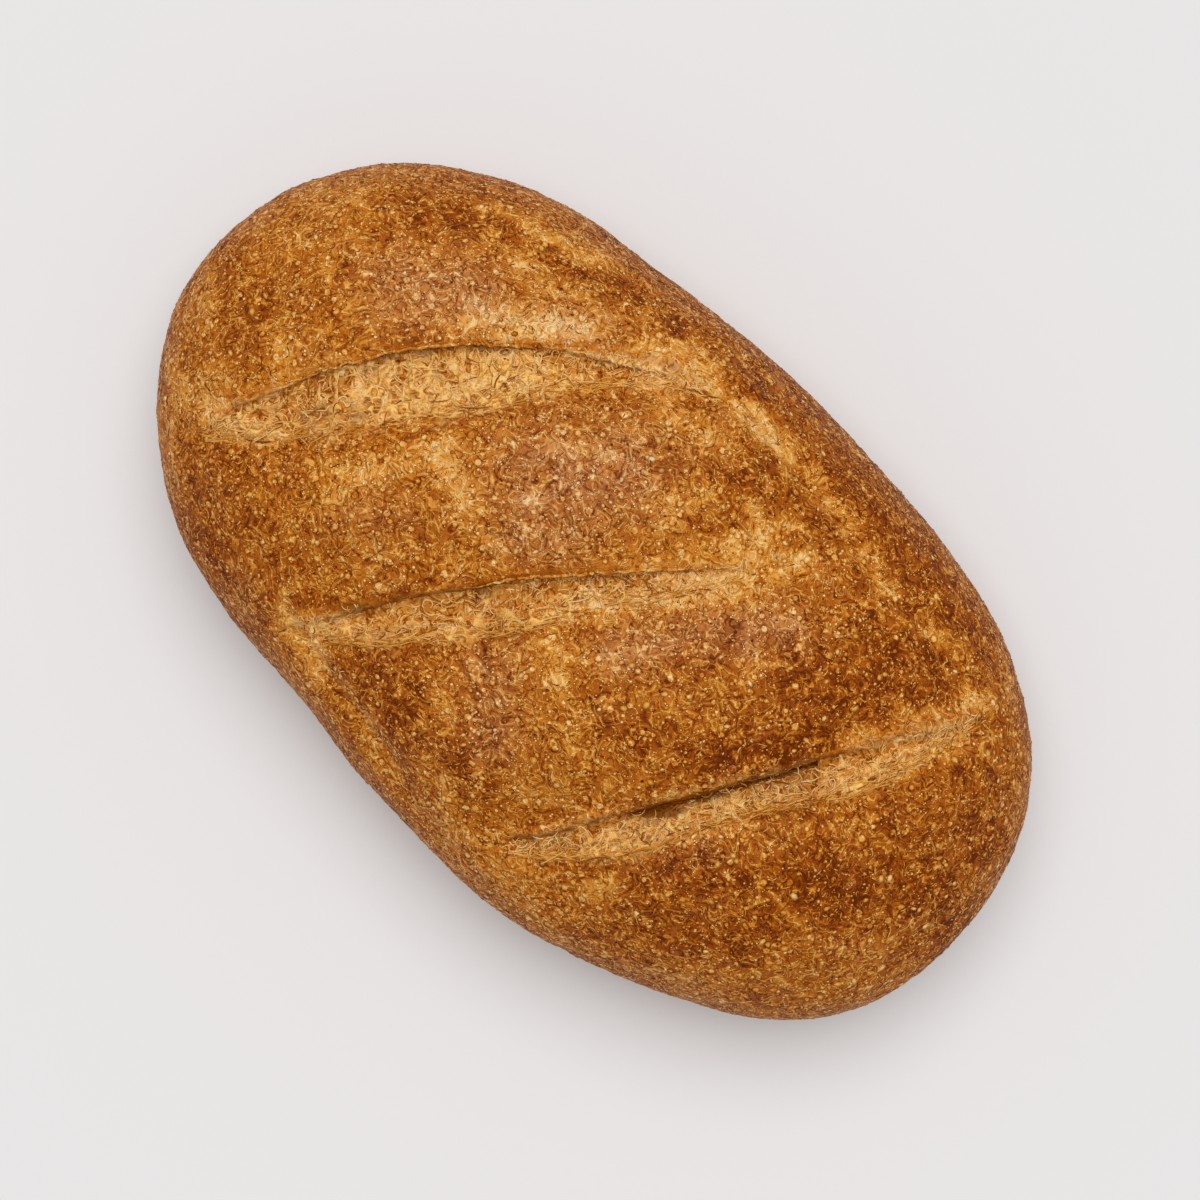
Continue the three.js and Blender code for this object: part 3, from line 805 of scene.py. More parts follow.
def crust_material():
    settings = bpy.context.scene.loaf_colours
    material, tree, shader = blank_material("baked_crust", 0.6)
    place = node(tree, "ShaderNodeTexCoord").outputs["Object"]
    side, gap, dull, ledge = (attribute(tree, name) for name in ("side", "gap", "dull", "ledge"))
    mottle = use_group(tree, "mottle", Vector=place).outputs["Light"]
    weave = use_group(tree, "weave", Vector=place, Scale=165.0, Lines=5.5, Cover=0.54)
    wisps = use_group(tree, "weave", Vector=place, Scale=280.0, Lines=5.0, Cover=0.56)
    # Small bright dots painted as glints.
    glint_dots = use_group(tree, "flecks", Vector=place, Scale=900.0, Size=0.34, Chance=0.12)
    specks = use_group(tree, "flecks", Vector=place, Scale=400.0, Size=0.36, Chance=0.3)
    pits = use_group(tree, "flecks", Vector=place, Scale=420.0, Size=0.22, Chance=0.14).outputs["Mask"]
    # Fine bright pins painted as glints, each with a dark ring.
    glint_pins = use_group(tree, "flecks", Vector=place, Scale=1500.0, Size=0.4, Chance=0.12)

    light = plus(
        tree,
        sums(tree, "ADD", mottle, 0.462),
        (weave.outputs["Light"], 0.16),
        (weave.outputs["Dark"], -0.12),
        (wisps.outputs["Light"], 0.2),
        (wisps.outputs["Dark"], -0.14),
        (specks.outputs["Mask"], 0.22),
        # A darker ring round each speck, painted as its outline shadow.
        (specks.outputs["Rim"], -0.1),
        # The broad tones: partly bake, partly painted light and shade.
        (attribute(tree, "pale"), 0.28),
        (attribute(tree, "dark"), -0.23),
        # The domes' painted sheen, a little lighter.
        (dull, 0.03),
        (side, -0.02),
        (attribute(tree, "margin"), 0.05),
        (attribute(tree, "torn"), 0.06),
        # Painted glints: the bright dots, and the pins with their dark rings.
        (glint_dots.outputs["Mask"], 0.45),
        (pits, -0.24),
        (glint_pins.outputs["Mask"], 0.38),
        (glint_pins.outputs["Rim"], -0.26),
        # Painted shade in the gap under a lip.
        (gap, -0.3),
        (ledge, 0.08),
    )
    # Dullness: the painted sheen on the domes, noisy patches, the duller sides and the plain underside.
    patches = ranged(tree, noise_node(tree, place, 70.0, 1.0).outputs["Fac"], 0.45, 0.7)
    dullness = sums(tree, "MULTIPLY", dull, DULL_TONE)
    dullness = plus(tree, dullness, (patches, 0.1), (side, DULL_SIDE), (attribute(tree, "under"), 1.0))
    dullness = sums(tree, "MINIMUM", dullness, 1.0)
    colour = use_group(tree, "bake", Light=light, Dull=dullness).outputs["Color"]
    bent = sums(tree, "MULTIPLY", ledge, ranged(tree, mottle, -0.12, 0.12, 0.0, 0.5))
    colour = mixed(tree, bent, colour, settings.ledge)
    # Over the colour: the lip's line in painted warm light, and painted shade in cavities and on valley floors.
    over = (attribute(tree, "rim"), 0.4, settings.lip_glow), (attribute(tree, "deep_shade"), 0.8, settings.shaded)
    feed(tree, shader, "Base Color", layered(tree, colour, *over))

    height = plus(
        tree,
        sums(tree, "MULTIPLY", mottle, 1.2),
        (weave.outputs["Light"], 0.45),
        (weave.outputs["Dark"], -0.4),
        (wisps.outputs["Light"], 0.35),
        (specks.outputs["Mask"], 0.5),
        (glint_dots.outputs["Mask"], 0.3),
        (pits, -0.7),
    )
    bumped(tree, shader, height, 0.9, 0.5 * MM)
    return material


def crumb_material():
    settings = bpy.context.scene.loaf_colours
    material, tree, shader = blank_material("torn_crumb", 0.75)
    place = node(tree, "ShaderNodeTexCoord").outputs["Object"]
    dark, pale = (attribute(tree, name) for name in ("dark", "pale"))
    mottle = use_group(tree, "mottle", Vector=place).outputs["Light"]
    weave = use_group(tree, "weave", Vector=place, Scale=150.0, Lines=5.0, Cover=0.56).outputs
    wisps = use_group(tree, "weave", Vector=place, Scale=300.0, Lines=5.0, Cover=0.5).outputs
    colour = layered(
        tree,
        mixed(tree, attribute(tree, "film"), settings.crumb, settings.film),
        (pale, 0.45, settings.cream),
        # Painted shadow along each side of the threads.
        (attribute(tree, "brink"), 0.75, settings.brown),
        (attribute(tree, "thread"), 0.85, settings.thread),
        (weave["Dark"], 0.65, settings.roast),
        (wisps["Dark"], 0.6, settings.brown),
        (weave["Light"], 0.7, settings.cream),
        (wisps["Light"], 0.65, settings.cream),
        (dark, 0.5, settings.brown),
    )
    streaks = (weave["Light"], 0.25), (weave["Dark"], -0.18), (wisps["Light"], 0.2), (wisps["Dark"], -0.2)
    baked_light = plus(tree, sums(tree, "ADD", mottle, 0.56), *streaks, (dark, -0.23), (pale, 0.26))
    baked = use_group(tree, "bake", Light=baked_light, Dull=0.1).outputs["Color"]
    toasted = sums(tree, "MULTIPLY_ADD", mottle, 2.2, attribute(tree, "toast"))
    colour = layered(
        tree,
        mixed(tree, ranged(tree, toasted, 0.16, 0.8), colour, baked),
        # The lip's line in painted warm light.
        (attribute(tree, "rim"), 0.5, settings.lip_glow),
        (attribute(tree, "shaded"), 0.75, settings.shaded),
        # Painted shade in cavities and on valley floors.
        (attribute(tree, "deep_shade"), 0.85, settings.shaded),
        # Painted shade inside the crumb's holes.
        (attribute(tree, "hole"), 1.0, settings.hole_shade),
    )
    feed(tree, shader, "Base Color", colour)
    height = plus(tree, sums(tree, "MULTIPLY", mottle, 1.2), (weave["Light"], 0.5), (weave["Dark"], -0.4))
    bumped(tree, shader, height, 0.95, 0.5 * MM)
    return material


def bran_material():
    material, tree, shader = blank_material("bran", 0.5)
    place = node(tree, "ShaderNodeTexCoord").outputs["Object"]
    grain = noise_node(tree, place, 1400.0, 2.0).outputs["Fac"]
    light = plus(tree, attribute(tree, "shade"), (sums(tree, "SUBTRACT", grain, 0.5), 0.25))
    colour = use_group(tree, "bake", Light=light, Dull=attribute(tree, "dull")).outputs["Color"]
    feed(tree, shader, "Base Color", colour)
    bumped(tree, shader, grain, 0.3, 0.2 * MM)
    return material


# Settings.


class LoafSizes(bpy.types.PropertyGroup):
    fine_levels: IntProperty(name="Crust fineness", description="Subdivision of the crust", default=2, min=1, max=3)
    crust_grain: FloatProperty(
        name="Crust grain", description="Height of the crust's fine bumps", default=0.28 * MM, unit="LENGTH"
    )
    crust_lumps: FloatProperty(
        name="Crust lumps", description="Height of the crust's coarse bumps", default=0.5 * MM, unit="LENGTH"
    )
    crumb_step: FloatProperty(
        name="Crumb step", description="Mesh step of the torn crumb", default=0.3 * MM, unit="LENGTH"
    )
    crumb_web: FloatProperty(
        name="Crumb web", description="Height of the webs of the crumb", default=1.35 * MM, unit="LENGTH"
    )
    thread_density: FloatProperty(
        name="Thread density", description="Crumb threads on each picture step along a cut", default=1.7
    )
    bran_count: IntProperty(name="Bran flakes", description="Number of bran flakes on the crust", default=8000)
    sliver_count: IntProperty(name="Bran slivers", description="Number of bran slivers on the crust", default=9500)


def colour_property(name, description, chip):
    return FloatVectorProperty(
        name=name, description=description, subtype="COLOR", size=3, min=0.0, max=1.0, default=tint(*chip)
    )


class LoafColours(bpy.types.PropertyGroup):
    char: colour_property("Char", "Deepest pits of the crust", (98, 38, 0))
    roast: colour_property("Roast", "Dark crust", (140, 62, 4))
    brown: colour_property("Brown", "Brown crust", (172, 93, 18))
    amber: colour_property("Amber", "Amber crust", (204, 127, 38))
    gold: colour_property("Gold", "Golden crust", (228, 164, 74))
    cream: colour_property("Cream", "Palest flecks", (246, 206, 142))
    # The dull colours serve the duller sides and underside and the painted sheen on the domes.
    dusk: colour_property("Dusk", "Darkest dull crust of the domes and sides", (88, 42, 16))
    blush: colour_property("Blush", "Dull brown crust", (168, 101, 56))
    rose: colour_property("Rose", "Light dull crust", (210, 147, 95))
    shell: colour_property("Shell", "Palest flecks of the dull crust", (244, 208, 158))
    ledge: colour_property("Ledge", "Crust edge over the third cut", (208, 154, 82))
    crumb: colour_property("Crumb", "Torn crumb", (250, 198, 110))
    thread: colour_property("Thread", "Threads of the torn crumb", (250, 200, 108))
    film: colour_property("Film", "Thin films of the crumb", (237, 183, 106))
    # Painted warm light along the line of a lip.
    lip_glow: colour_property("Lip glow", "Line of a lip", (192, 106, 14))
    shaded: colour_property("Shaded", "Crumb in the shade under a lip", (130, 70, 14))
    # Painted shade inside the crumb's holes.
    hole_shade: colour_property("Hole shade", "Inside of the crumb's holes", (112, 60, 16))
    floor: colour_property("Floor", "Floor", (228, 226, 226))


# Operators.


class LOAF_OT_crust(bpy.types.Operator):
    """Makes the crust over the loaf's solid: smoothed, lumpy and marked with its tones"""

    bl_idname = "loaf.crust"
    bl_label = "Crust"

    def execute(self, context):
        sizes = context.scene.loaf_sizes
        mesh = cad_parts["loaf"].data.copy()
        piece = bpy.data.objects.new("crust", mesh)
        context.scene.collection.objects.link(piece)
        take(piece)
        bpy.ops.object.mode_set(mode="EDIT")
        bpy.ops.mesh.select_all(action="SELECT")
        bpy.ops.mesh.remove_doubles(threshold=WELD)
        bpy.ops.mesh.tris_convert_to_quads(face_threshold=math.pi, shape_threshold=math.pi)
        bpy.ops.object.mode_set(mode="OBJECT")
        smoother = piece.modifiers.new("smoother", "SUBSURF")
        smoother.levels = smoother.render_levels = sizes.fine_levels
        bpy.ops.object.modifier_apply(modifier=smoother.name)
        points = positions(piece)
        out = normals(piece)
        lumps = noise_at(points, 16, 1) * sizes.crust_lumps
        grain = (noise_at(points, 3.4, 2) + 0.6 * noise_at(points, 6.5, 5)) * sizes.crust_grain
        free = smooth_between(*BASE_FADE, points[:, 2])
        moved = points + out * ((lumps + grain) * free)[:, None]
        across, down = on_picture(points)
        for rise, width, *knots in RELIEF:
            near = np.exp(-((line_distance(knots, across, down) / width) ** 2)) * (points[:, 2] > WAIST)
            moved += out * (rise * MM * near)[:, None]
        moved[:, 2] = np.maximum(moved[:, 2], 0)
        move_to(piece, moved)
        soften(piece)
        mark_tones(piece)
        finish_piece(piece, crust_material())
        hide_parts("loaf")
        return {"FINISHED"}


def find_skin(tree, across, down):
    """Point of the skin that is seen at a place in the picture."""
    eye, way = sight_line(across, down)
    point = tree.ray_cast(eye, way)[0]
    if point is None:
        raise RuntimeError(f"nothing is seen at {across:.0f}, {down:.0f}")
    return point


def find_lip(tree, across, guess):
    """Place down of the lip near a guess: where the seen height drops most."""
    downs = guess + np.arange(-5, 5.5, 1.0)
    heights = np.array([find_skin(tree, across, down).z for down in downs])
    return downs[np.argmin(np.diff(heights))]


def lip_places(tree, cut, step):
    """Places across and down of the lip as it lies on the crust, at even steps."""
    start, end = lip_span(cut)
    across = np.arange(start + 4, end - 3, step)
    guess = spline(cut["lip"])(across)
    down = np.array([find_lip(tree, x, y) for x, y in zip(across, guess)])
    return across, eased(down, 7)


def eased(values, reach):
    """Values smoothed along a row, over reach neighbours on each side."""
    window = np.hanning(2 * reach + 1)
    return np.convolve(np.pad(values, reach, mode="edge"), window / window.sum(), mode="valid")


def along_noise(across, size, seed, layer):
    """Smooth noise along the picture, with features of about size."""
    return np.array([noise.noise(Vector((x / size, seed, layer))) for x in across])


def ripple(places, size, *offset):
    """Smooth noise at places in millimetres, with features of about size."""
    return np.array([noise.noise(Vector(place) / size + Vector(offset)) for place in places])


def web(points, size, seed):
    """Threads between round films, and the films' own draw: 1 on a thread, 0 on a film. Points in millimetres."""
    offset = Vector((seed * 3.7, seed * -2.9, seed * 1.3))
    gaps = np.empty(len(points))
    draws = np.empty(len(points))
    for index, point in enumerate(points):
        place = Vector(point) / size + offset
        place = place + 0.8 * noise.noise_vector(place * 0.9)
        nearest, cells = noise.voronoi(place)
        gaps[index] = nearest[1] - nearest[0]
        draws[index] = noise.cell(cells[0] * 37.0)
    return 1 - smooth_between(0.03, 0.16, gaps), gaps, draws


def beside(gaps):
    """1 just beside a thread of the web, 0 on it and well away from it."""
    return smooth_between(0.08, 0.16, gaps) * (1 - smooth_between(0.2, 0.42, gaps))


class LOAF_OT_crumb(bpy.types.Operator):
    """Lays torn crumb in each cut: films, holes and threads between lip and foot"""

    bl_idname = "loaf.crumb"
    bl_label = "Torn crumb"

    def execute(self, context):
        sizes = context.scene.loaf_sizes
        crust = bpy.data.objects["crust"]
        tree = BVHTree.FromObject(crust, context.evaluated_depsgraph_get())
        material = crumb_material()
        noise.seed_set(WARP_SEED)
        for cut in CUTS:
            piece = crumb_piece(tree, cut, sizes)
            soften(piece)
            finish_piece(piece, material)
        return {"FINISHED"}


def crumb_columns(tree, cut, step):
    """Columns of the crumb: places across, top, foot, how crisp the lip is, and the places down of each row."""
    across, lip = lip_places(tree, cut, step)
    foot = spline(cut["foot"])(across)
    gap = gap_width(cut, across) * (1 + GAP_RAGGED * along_noise(across, 8, cut["seed"], 4))
    crisp = crisp_cover(cut, across)
    top = lip + gap - ABOVE_SOFT_LIP * (1 - crisp)
    rows = int((foot - top).max() / step) + int(PAST_FOOT / step)
    downs = top[:, None] + (foot - top + PAST_FOOT)[:, None] * np.linspace(0, 1, rows)
    return across, top, foot, crisp, downs


def crumb_bed(tree, across, downs, crisp):
    """Points of the crust under the crumb, in columns, raised over the step of a lip that isn't crisp."""
    points = np.array([[find_skin(tree, x, y) for y in column] for x, column in zip(across, downs)])
    heights = points[..., 2]
    smoothed = np.array([eased(column, 10) for column in heights])
    points[..., 2] = heights + np.maximum(smoothed - heights, 0) * (1 - crisp)[:, None]
    return points


def crumb_texture(place, seed):
    """Relief of the crumb's threads, films and holes at places in millimetres, its rough part and their marks."""
    thread, gaps, draws = web(place, COARSE_WEB, seed)
    fine_thread, fine_gaps, _ = web(place, FINE_WEB, seed + 1)
    shown = ripple(place, 5.0, 1, 7, seed)
    coarse_shown = smooth_between(-0.3, 0.1, shown)
    fine_shown = 1 - smooth_between(-0.1, 0.25, shown)
    thread, fine_thread = thread * coarse_shown, fine_thread * fine_shown
    hole = smooth_between(0.25, 0.6, gaps) * (draws > 0.7)
    rough = ripple(place, 4.0, 0, 0, 0)
    relief = 0.6 * thread + 0.4 * fine_thread + 0.9 * rough - 1.6 * hole - 0.7 * smooth_between(0.05, 0.6, gaps)
    marks = {
        "thread": np.maximum(thread, 0.7 * fine_thread),
        # Painted shadow just beside the threads.
        "brink": np.maximum(beside(gaps) * coarse_shown, 0.7 * beside(fine_gaps) * fine_shown),
        "hole": np.clip(hole, 0, 1),
        "film": np.clip(draws, 0, 1),
    }
    return relief, rough, marks


def slab_faces(columns, rows):
    """Faces of a slab: a grid of quads, walls below its long sides, a floor and a fan at each end."""
    index = np.arange(columns * rows).reshape(columns, rows)
    faces = np.stack([index[:-1, :-1], index[:-1, 1:], index[1:, 1:], index[1:, :-1]], axis=-1)
    faces = faces.reshape(-1, 4).tolist()
    low = [np.arange(columns) + columns * rows + side * columns for side in (0, 1)]
    for i in range(columns - 1):
        faces.append((index[i, 0], index[i + 1, 0], low[0][i + 1], low[0][i]))
        faces.append((index[i + 1, -1], index[i, -1], low[1][i], low[1][i + 1]))
        faces.append((low[0][i], low[0][i + 1], low[1][i + 1], low[1][i]))
    for i, turn in ((0, 1), (columns - 1, -1)):
        fan = [*index[i], low[1][i]]
        for first, second in zip(fan, fan[1:]):
            faces.append((low[0][i], first, second)[::turn])
    return [[int(corner) for corner in face] for face in faces]


def crumb_piece(tree, cut, sizes):
    """The torn crumb of a cut, a thin slab laid on the crust, with its marks."""
    across, top, foot, crisp, downs = crumb_columns(tree, cut, sizes.crumb_step / PIXEL)
    columns, rows = downs.shape
    points = crumb_bed(tree, across, downs, crisp)
    acrosses, sharp = np.repeat(across, rows), np.repeat(crisp, rows)
    place = np.stack([acrosses, downs.ravel(), np.zeros(columns * rows)], axis=-1) * PIXEL / MM
    relief, rough, marks = crumb_texture(place, cut["seed"])
    ragged = ripple(place, 1.7, 9, 3, cut["seed"])
    waver = ripple(place, 9.0, 5, cut["seed"], 2)
    past_foot = (downs - foot[:, None]).ravel() + 7 * ragged + 12 * waver
    past_top = (downs - top[:, None]).ravel()
    past_end = np.minimum(acrosses - across[0], across[-1] - acrosses) + 8 * ragged

    kept = (1 - smooth_between(6, 20, past_foot)) * smooth_between(2, 30, past_end)
    start = smooth_between(0, 4, past_top + 1.5 * ragged)
    lift = (0.35 + cut["lift"] * (1 - smooth_between(-25, 4, past_foot)) + relief * sizes.crumb_web / MM) * kept
    lift *= 0.2 + 0.3 * sharp + (0.8 - 0.3 * sharp) * start
    lift -= 0.9 * (1 - kept) + (0.6 - 0.4 * sharp) * (1 - start)
    points[..., 2] += lift.reshape(columns, rows) * MM
    lower = [points[:, side] - (0, 0, SLAB) for side in (0, -1)]
    corners = np.concatenate([points.reshape(-1, 3), *lower])
    piece = new_piece("crumb_" + cut["name"], corners, slab_faces(columns, rows))

    past_top = past_top + 4 * ragged
    reach = np.repeat(np.clip((foot - top) * 0.4, 3, 18), rows)
    toast = smooth_between(-1, 1, (past_foot - 0.3 * reach) / reach) + 0.6 * (1 - smooth_between(4, 36, past_end))
    toast = toast + (1 - sharp) * (1 - smooth_between(3, 13, past_top))
    strength, length = cut["shade"]
    waved = acrosses + 9 * ragged, downs.ravel() + 9 * rough
    marks["shaded"] = strength * sharp * (1 - smooth_between(0, length, past_top))
    # The lip's line in painted warm light.
    marks["rim"] = rim_at(acrosses, downs.ravel() + 3 * ragged)
    # Painted shade in cavities and on valley floors.
    marks["deep_shade"] = tone("deep_shade", acrosses + 2 * ragged, downs.ravel() + 2 * rough)
    marks["dark"], marks["pale"] = tone("dark", *waved), tone("pale", *waved)
    marks["toast"] = np.clip(toast, 0, 1)
    for name, values in marks.items():
        mark(piece, name, np.pad(values, (0, 2 * columns), constant_values=1 if name == "toast" else 0))
    turn_outwards(piece)
    return piece


def draw_thread(draw, cut, skin, crumb):
    """One thread of a cut's crumb: its spot, way ahead, length, bend, girth and shade."""
    start, end = lip_span(cut)
    lip, foot = spline(cut["lip"]), spline(cut["foot"])
    across = draw.uniform(start + 8, end - 6)
    hanging = cut["fringe"][0] < across < cut["fringe"][1] and draw.random() < HANGING_SHARE
    share = draw.uniform(0.02, 0.2) if hanging else draw.beta(1.2, 0.9)
    top = lip(across) + gap_width(cut, across) + 1
    down = top + (foot(across) + 7 - top) * share
    fibre = share > draw.uniform(0.5, 0.95)
    slope = foot(across + 5) - foot(across - 5)
    way = math.atan2(slope, 10) + (draw.normal(0, 0.2) if fibre else draw.uniform(0, 2 * math.pi))
    way = draw.normal(1.6, 0.3) if hanging else way
    shortest, longest = (4, 10) if fibre else (1.5, 3) if hanging else (2, 6)
    length = draw.uniform(shortest, longest) * MM
    eye, sight = sight_line(across, down)
    hits = [tree.ray_cast(eye, sight)[0] for tree in (skin, crumb)]
    spot = max((hit for hit in hits if hit is not None), key=lambda hit: hit.z)
    run, fall = 0.5 * length / PIXEL * math.cos(way), 0.5 * length / PIXEL * math.sin(way)
    tail, tip = (find_skin(skin, across + side * run, down + side * fall) for side in (-1, 1))
    bend = draw.normal(0, 0.5 if fibre or hanging else 2.0)
    girth = draw.uniform(0.25, 0.5) * MM
    dark = draw.random() < DARK_THREADS
    shade = draw.normal(0.38, 0.05) if dark else draw.normal(0.78 - 0.16 * share**3, 0.09)
    return spot, (tip - tail).normalized(), length, bend, girth, shade


class LOAF_OT_threads(bpy.types.Operator):
    """Strews the torn crumb with bent threads, and its foot with fibres along the cut"""

    bl_idname = "loaf.threads"
    bl_label = "Crumb threads"

    def execute(self, context):
        sizes = context.scene.loaf_sizes
        draw = np.random.default_rng(29)
        graph = context.evaluated_depsgraph_get()
        skin = BVHTree.FromObject(bpy.data.objects["crust"], graph)
        threads = []
        for cut in CUTS:
            crumb = BVHTree.FromObject(bpy.data.objects["crumb_" + cut["name"]], graph)
            start, end = lip_span(cut)
            count = int((end - 6 - start - 8) * sizes.thread_density)
            threads += [draw_thread(draw, cut, skin, crumb) for _ in range(count)]
        spots, aheads, lengths, bends, girths, shades = (np.array(column) for column in zip(*threads))
        ups = np.tile((0.0, 0.0, 1.0), (len(spots), 1)) + draw.normal(0, 0.12, (len(spots), 3))
        across = np.cross(ups, aheads)
        across /= np.linalg.norm(across, axis=1, keepdims=True)
        frames = aheads, across, np.cross(aheads, across)
        points, faces = bent_strokes(spots, frames, lengths, bends, girths, THREAD_SEGMENTS)
        scatter_piece("crumb_threads", points, faces, shades[:, None])
        return {"FINISHED"}


class LOAF_OT_lips(bpy.types.Operator):
    """Rolls a thin ragged edge of crust along the lips of the first two cuts"""

    bl_idname = "loaf.lips"
    bl_label = "Lips"

    def execute(self, context):
        crust = bpy.data.objects["crust"]
        tree = BVHTree.FromObject(crust, context.evaluated_depsgraph_get())
        points, faces = [], []
        for cut in CUTS[:2]:
            rings = lip_rings(tree, cut)
            start = len(points)
            points += rings.reshape(-1, 3).tolist()
            for i in range(len(rings) - 1):
                for k in range(LIP_SIDES):
                    a, b = start + i * LIP_SIDES + k, start + i * LIP_SIDES + (k + 1) % LIP_SIDES
                    faces.append((a, b, b + LIP_SIDES, a + LIP_SIDES))
            faces.append(tuple(range(start, start + LIP_SIDES)))
            faces.append(tuple(range(len(points) - LIP_SIDES, len(points))))
        piece = new_piece("lips", np.array(points), faces)
        turn_outwards(piece, weld=True)
        soften(piece)
        count = len(piece.data.vertices)
        for name in ("dark", "dull", "deep_shade", "torn", "margin", "gap", "ledge", "rim", "side", "under"):
            mark(piece, name, np.zeros(count))
        # The roll is paler golden, partly the lip's thin baked edge and partly painted light on it.
        mark(piece, "pale", np.full(count, 0.35))
        finish_piece(piece, bpy.data.materials.get("baked_crust") or crust_material())
        return {"FINISHED"}


def lip_rings(tree, cut):
    """Rings of points along a crisp lip, which close to a point at both ends."""
    across, lip = lip_places(tree, cut, LIP_STEP)
    crisp = (across > cut["crisp"][0]) & (across < cut["crisp"][1])
    across, lip = across[crisp], lip[crisp]
    waver = along_noise(across, 9, cut["seed"], 0)
    skin = np.array([find_skin(tree, x, y - 2.0) for x, y in zip(across, lip)])
    taper = np.sin(np.pi * np.linspace(0, 1, len(across))) ** 0.4
    girth = ((0.4 + 0.12 * waver) * taper * MM)[:, None, None]
    drop = np.array((*DOWN_AXIS, 0.0))
    centre = skin + drop * (0.45 + 0.5 * waver)[:, None] * MM - (0, 0, 0.15 * MM)
    turn = (2 * math.pi * np.arange(LIP_SIDES) / LIP_SIDES)[None, :, None]
    return centre[:, None] + drop * np.cos(turn) * girth * 1.3 + np.array((0, 0, 1)) * np.sin(turn) * girth


class LOAF_OT_bran(bpy.types.Operator):
    """Scatters bran flakes over the crust, each a thin curved oval"""

    bl_idname = "loaf.bran"
    bl_label = "Bran flakes"

    def execute(self, context):
        sizes = context.scene.loaf_sizes
        crust = bpy.data.objects["crust"]
        flake_points, flake_faces = flake_shape(context)
        draw = np.random.default_rng(5)
        spots, ups = spots_on(crust, sizes.bran_count, draw)
        count = len(spots)
        frames = turned_frames(ups, draw, 0.1)
        lengths = draw.gamma(2.4, 0.45, count).clip(0.5, 3.0) * MM
        widths = lengths * draw.uniform(0.4, 0.8, count)
        thick = draw.uniform(0.2, 0.42, count) * MM
        shape = flake_points[None, :, :] * np.stack([lengths, widths, thick], axis=1)[:, None, :] / 2
        points = spots[:, None, :]
        for axis, way in enumerate(frames):
            points = points + shape[..., axis, None] * way[:, None, :]
        shade = draw.normal(0.7, 0.08, count)
        # The flake's edge and underside are darker: a painted outline shadow.
        rim = np.where(flake_points[:, 2] > 0.5, 0.0, draw.uniform(0.02, 0.16, (count, 1)))
        scatter_piece("bran_flakes", points, flake_faces, shade[:, None] - rim, dull_at(spots, frames)[:, None])
        return {"FINISHED"}


class LOAF_OT_slivers(bpy.types.Operator):
    """Scatters bran slivers over the crust, each a thin bent stroke"""

    bl_idname = "loaf.slivers"
    bl_label = "Bran slivers"

    def execute(self, context):
        sizes = context.scene.loaf_sizes
        crust = bpy.data.objects["crust"]
        draw = np.random.default_rng(17)
        spots, ups = spots_on(crust, sizes.sliver_count, draw)
        count = len(spots)
        frames = turned_frames(ups, draw, 0.05)
        lengths = draw.gamma(5.0, 0.34, count).clip(0.8, 4.0) * MM
        bends = draw.normal(0, 1.5, count)
        girths = draw.uniform(0.2, 0.4, count) * MM
        points, faces = bent_strokes(spots, frames, lengths, bends, girths, SLIVER_SEGMENTS)
        dark = draw.random(count) < DARK_SLIVERS
        shade = np.where(dark, draw.normal(0.3, 0.05, count), draw.normal(0.62, 0.08, count))
        scatter_piece("bran_slivers", points, faces, shade[:, None], dull_at(spots, frames)[:, None])
        return {"FINISHED"}


def dull_at(spots, frames):
    """How dull the crust is at spots, as its material has it."""
    side = 1 - smooth_between(*SIDE_FACING, frames[2][:, 2])
    return np.minimum(DULL_TONE * tone("dull", *on_picture(spots)) + DULL_SIDE * side, 1)


def turned_frames(ups, draw, wobble):
    """A random way ahead along the skin at each spot, with the ways across and up that go with it."""
    side = np.cross(ups, draw.normal(size=ups.shape))
    side /= np.linalg.norm(side, axis=1, keepdims=True)
    ups = ups + side * draw.normal(0, wobble, len(ups))[:, None]
    ups /= np.linalg.norm(ups, axis=1, keepdims=True)
    across = np.cross(ups, side)
    across /= np.linalg.norm(across, axis=1, keepdims=True)
    return np.cross(across, ups), across, ups


def bent_strokes(spots, frames, lengths, bends, girths, segments):
    """Thin strokes bent along arcs: points per stroke, and the triangles of one. Frames are ahead, across and up."""
    along = np.linspace(-1, 1, segments + 1)
    rings = []
    for t in along[1:-1]:
        reach = np.sqrt(1 - t * t) * 0.5 + 0.5
        for k in range(STROKE_SIDES):
            turn = 2 * math.pi * (k + 0.5) / STROKE_SIDES + math.pi / 2
            rings.append((t, reach * math.cos(turn), reach * math.sin(turn)))
    shape = np.array([(-1, 0, 0), *rings, (1, 0, 0)])
    t = shape[:, 0][None]
    turn = bends[:, None]
    radius = lengths[:, None] / np.where(np.abs(turn) < 0.05, 0.05, turn)
    half = t * turn / 2
    bulge = shape[:, 1][None] * girths[:, None] / 2
    ahead = (radius + bulge) * np.sin(half)
    aside = radius * (1 - np.cos(half)) - bulge * np.cos(half)
    rise = (shape[:, 2][None] * 0.5 + 0.25) * girths[:, None]
    points = spots[:, None, :]
    for reach, way in zip((ahead, aside, rise), frames):
        points = points + reach[..., None] * way[:, None]
    faces = []
    for k in range(STROKE_SIDES):
        after = (k + 1) % STROKE_SIDES
        faces.append((0, 1 + after, 1 + k))
        for ring in range(segments - 2):
            a, b = 1 + ring * STROKE_SIDES + k, 1 + ring * STROKE_SIDES + after
            faces += [(a, b, b + STROKE_SIDES), (a, b + STROKE_SIDES, a + STROKE_SIDES)]
        last = 1 + (segments - 2) * STROKE_SIDES
        faces.append((last + k, last + after, len(shape) - 1))
    return points, np.array(faces)


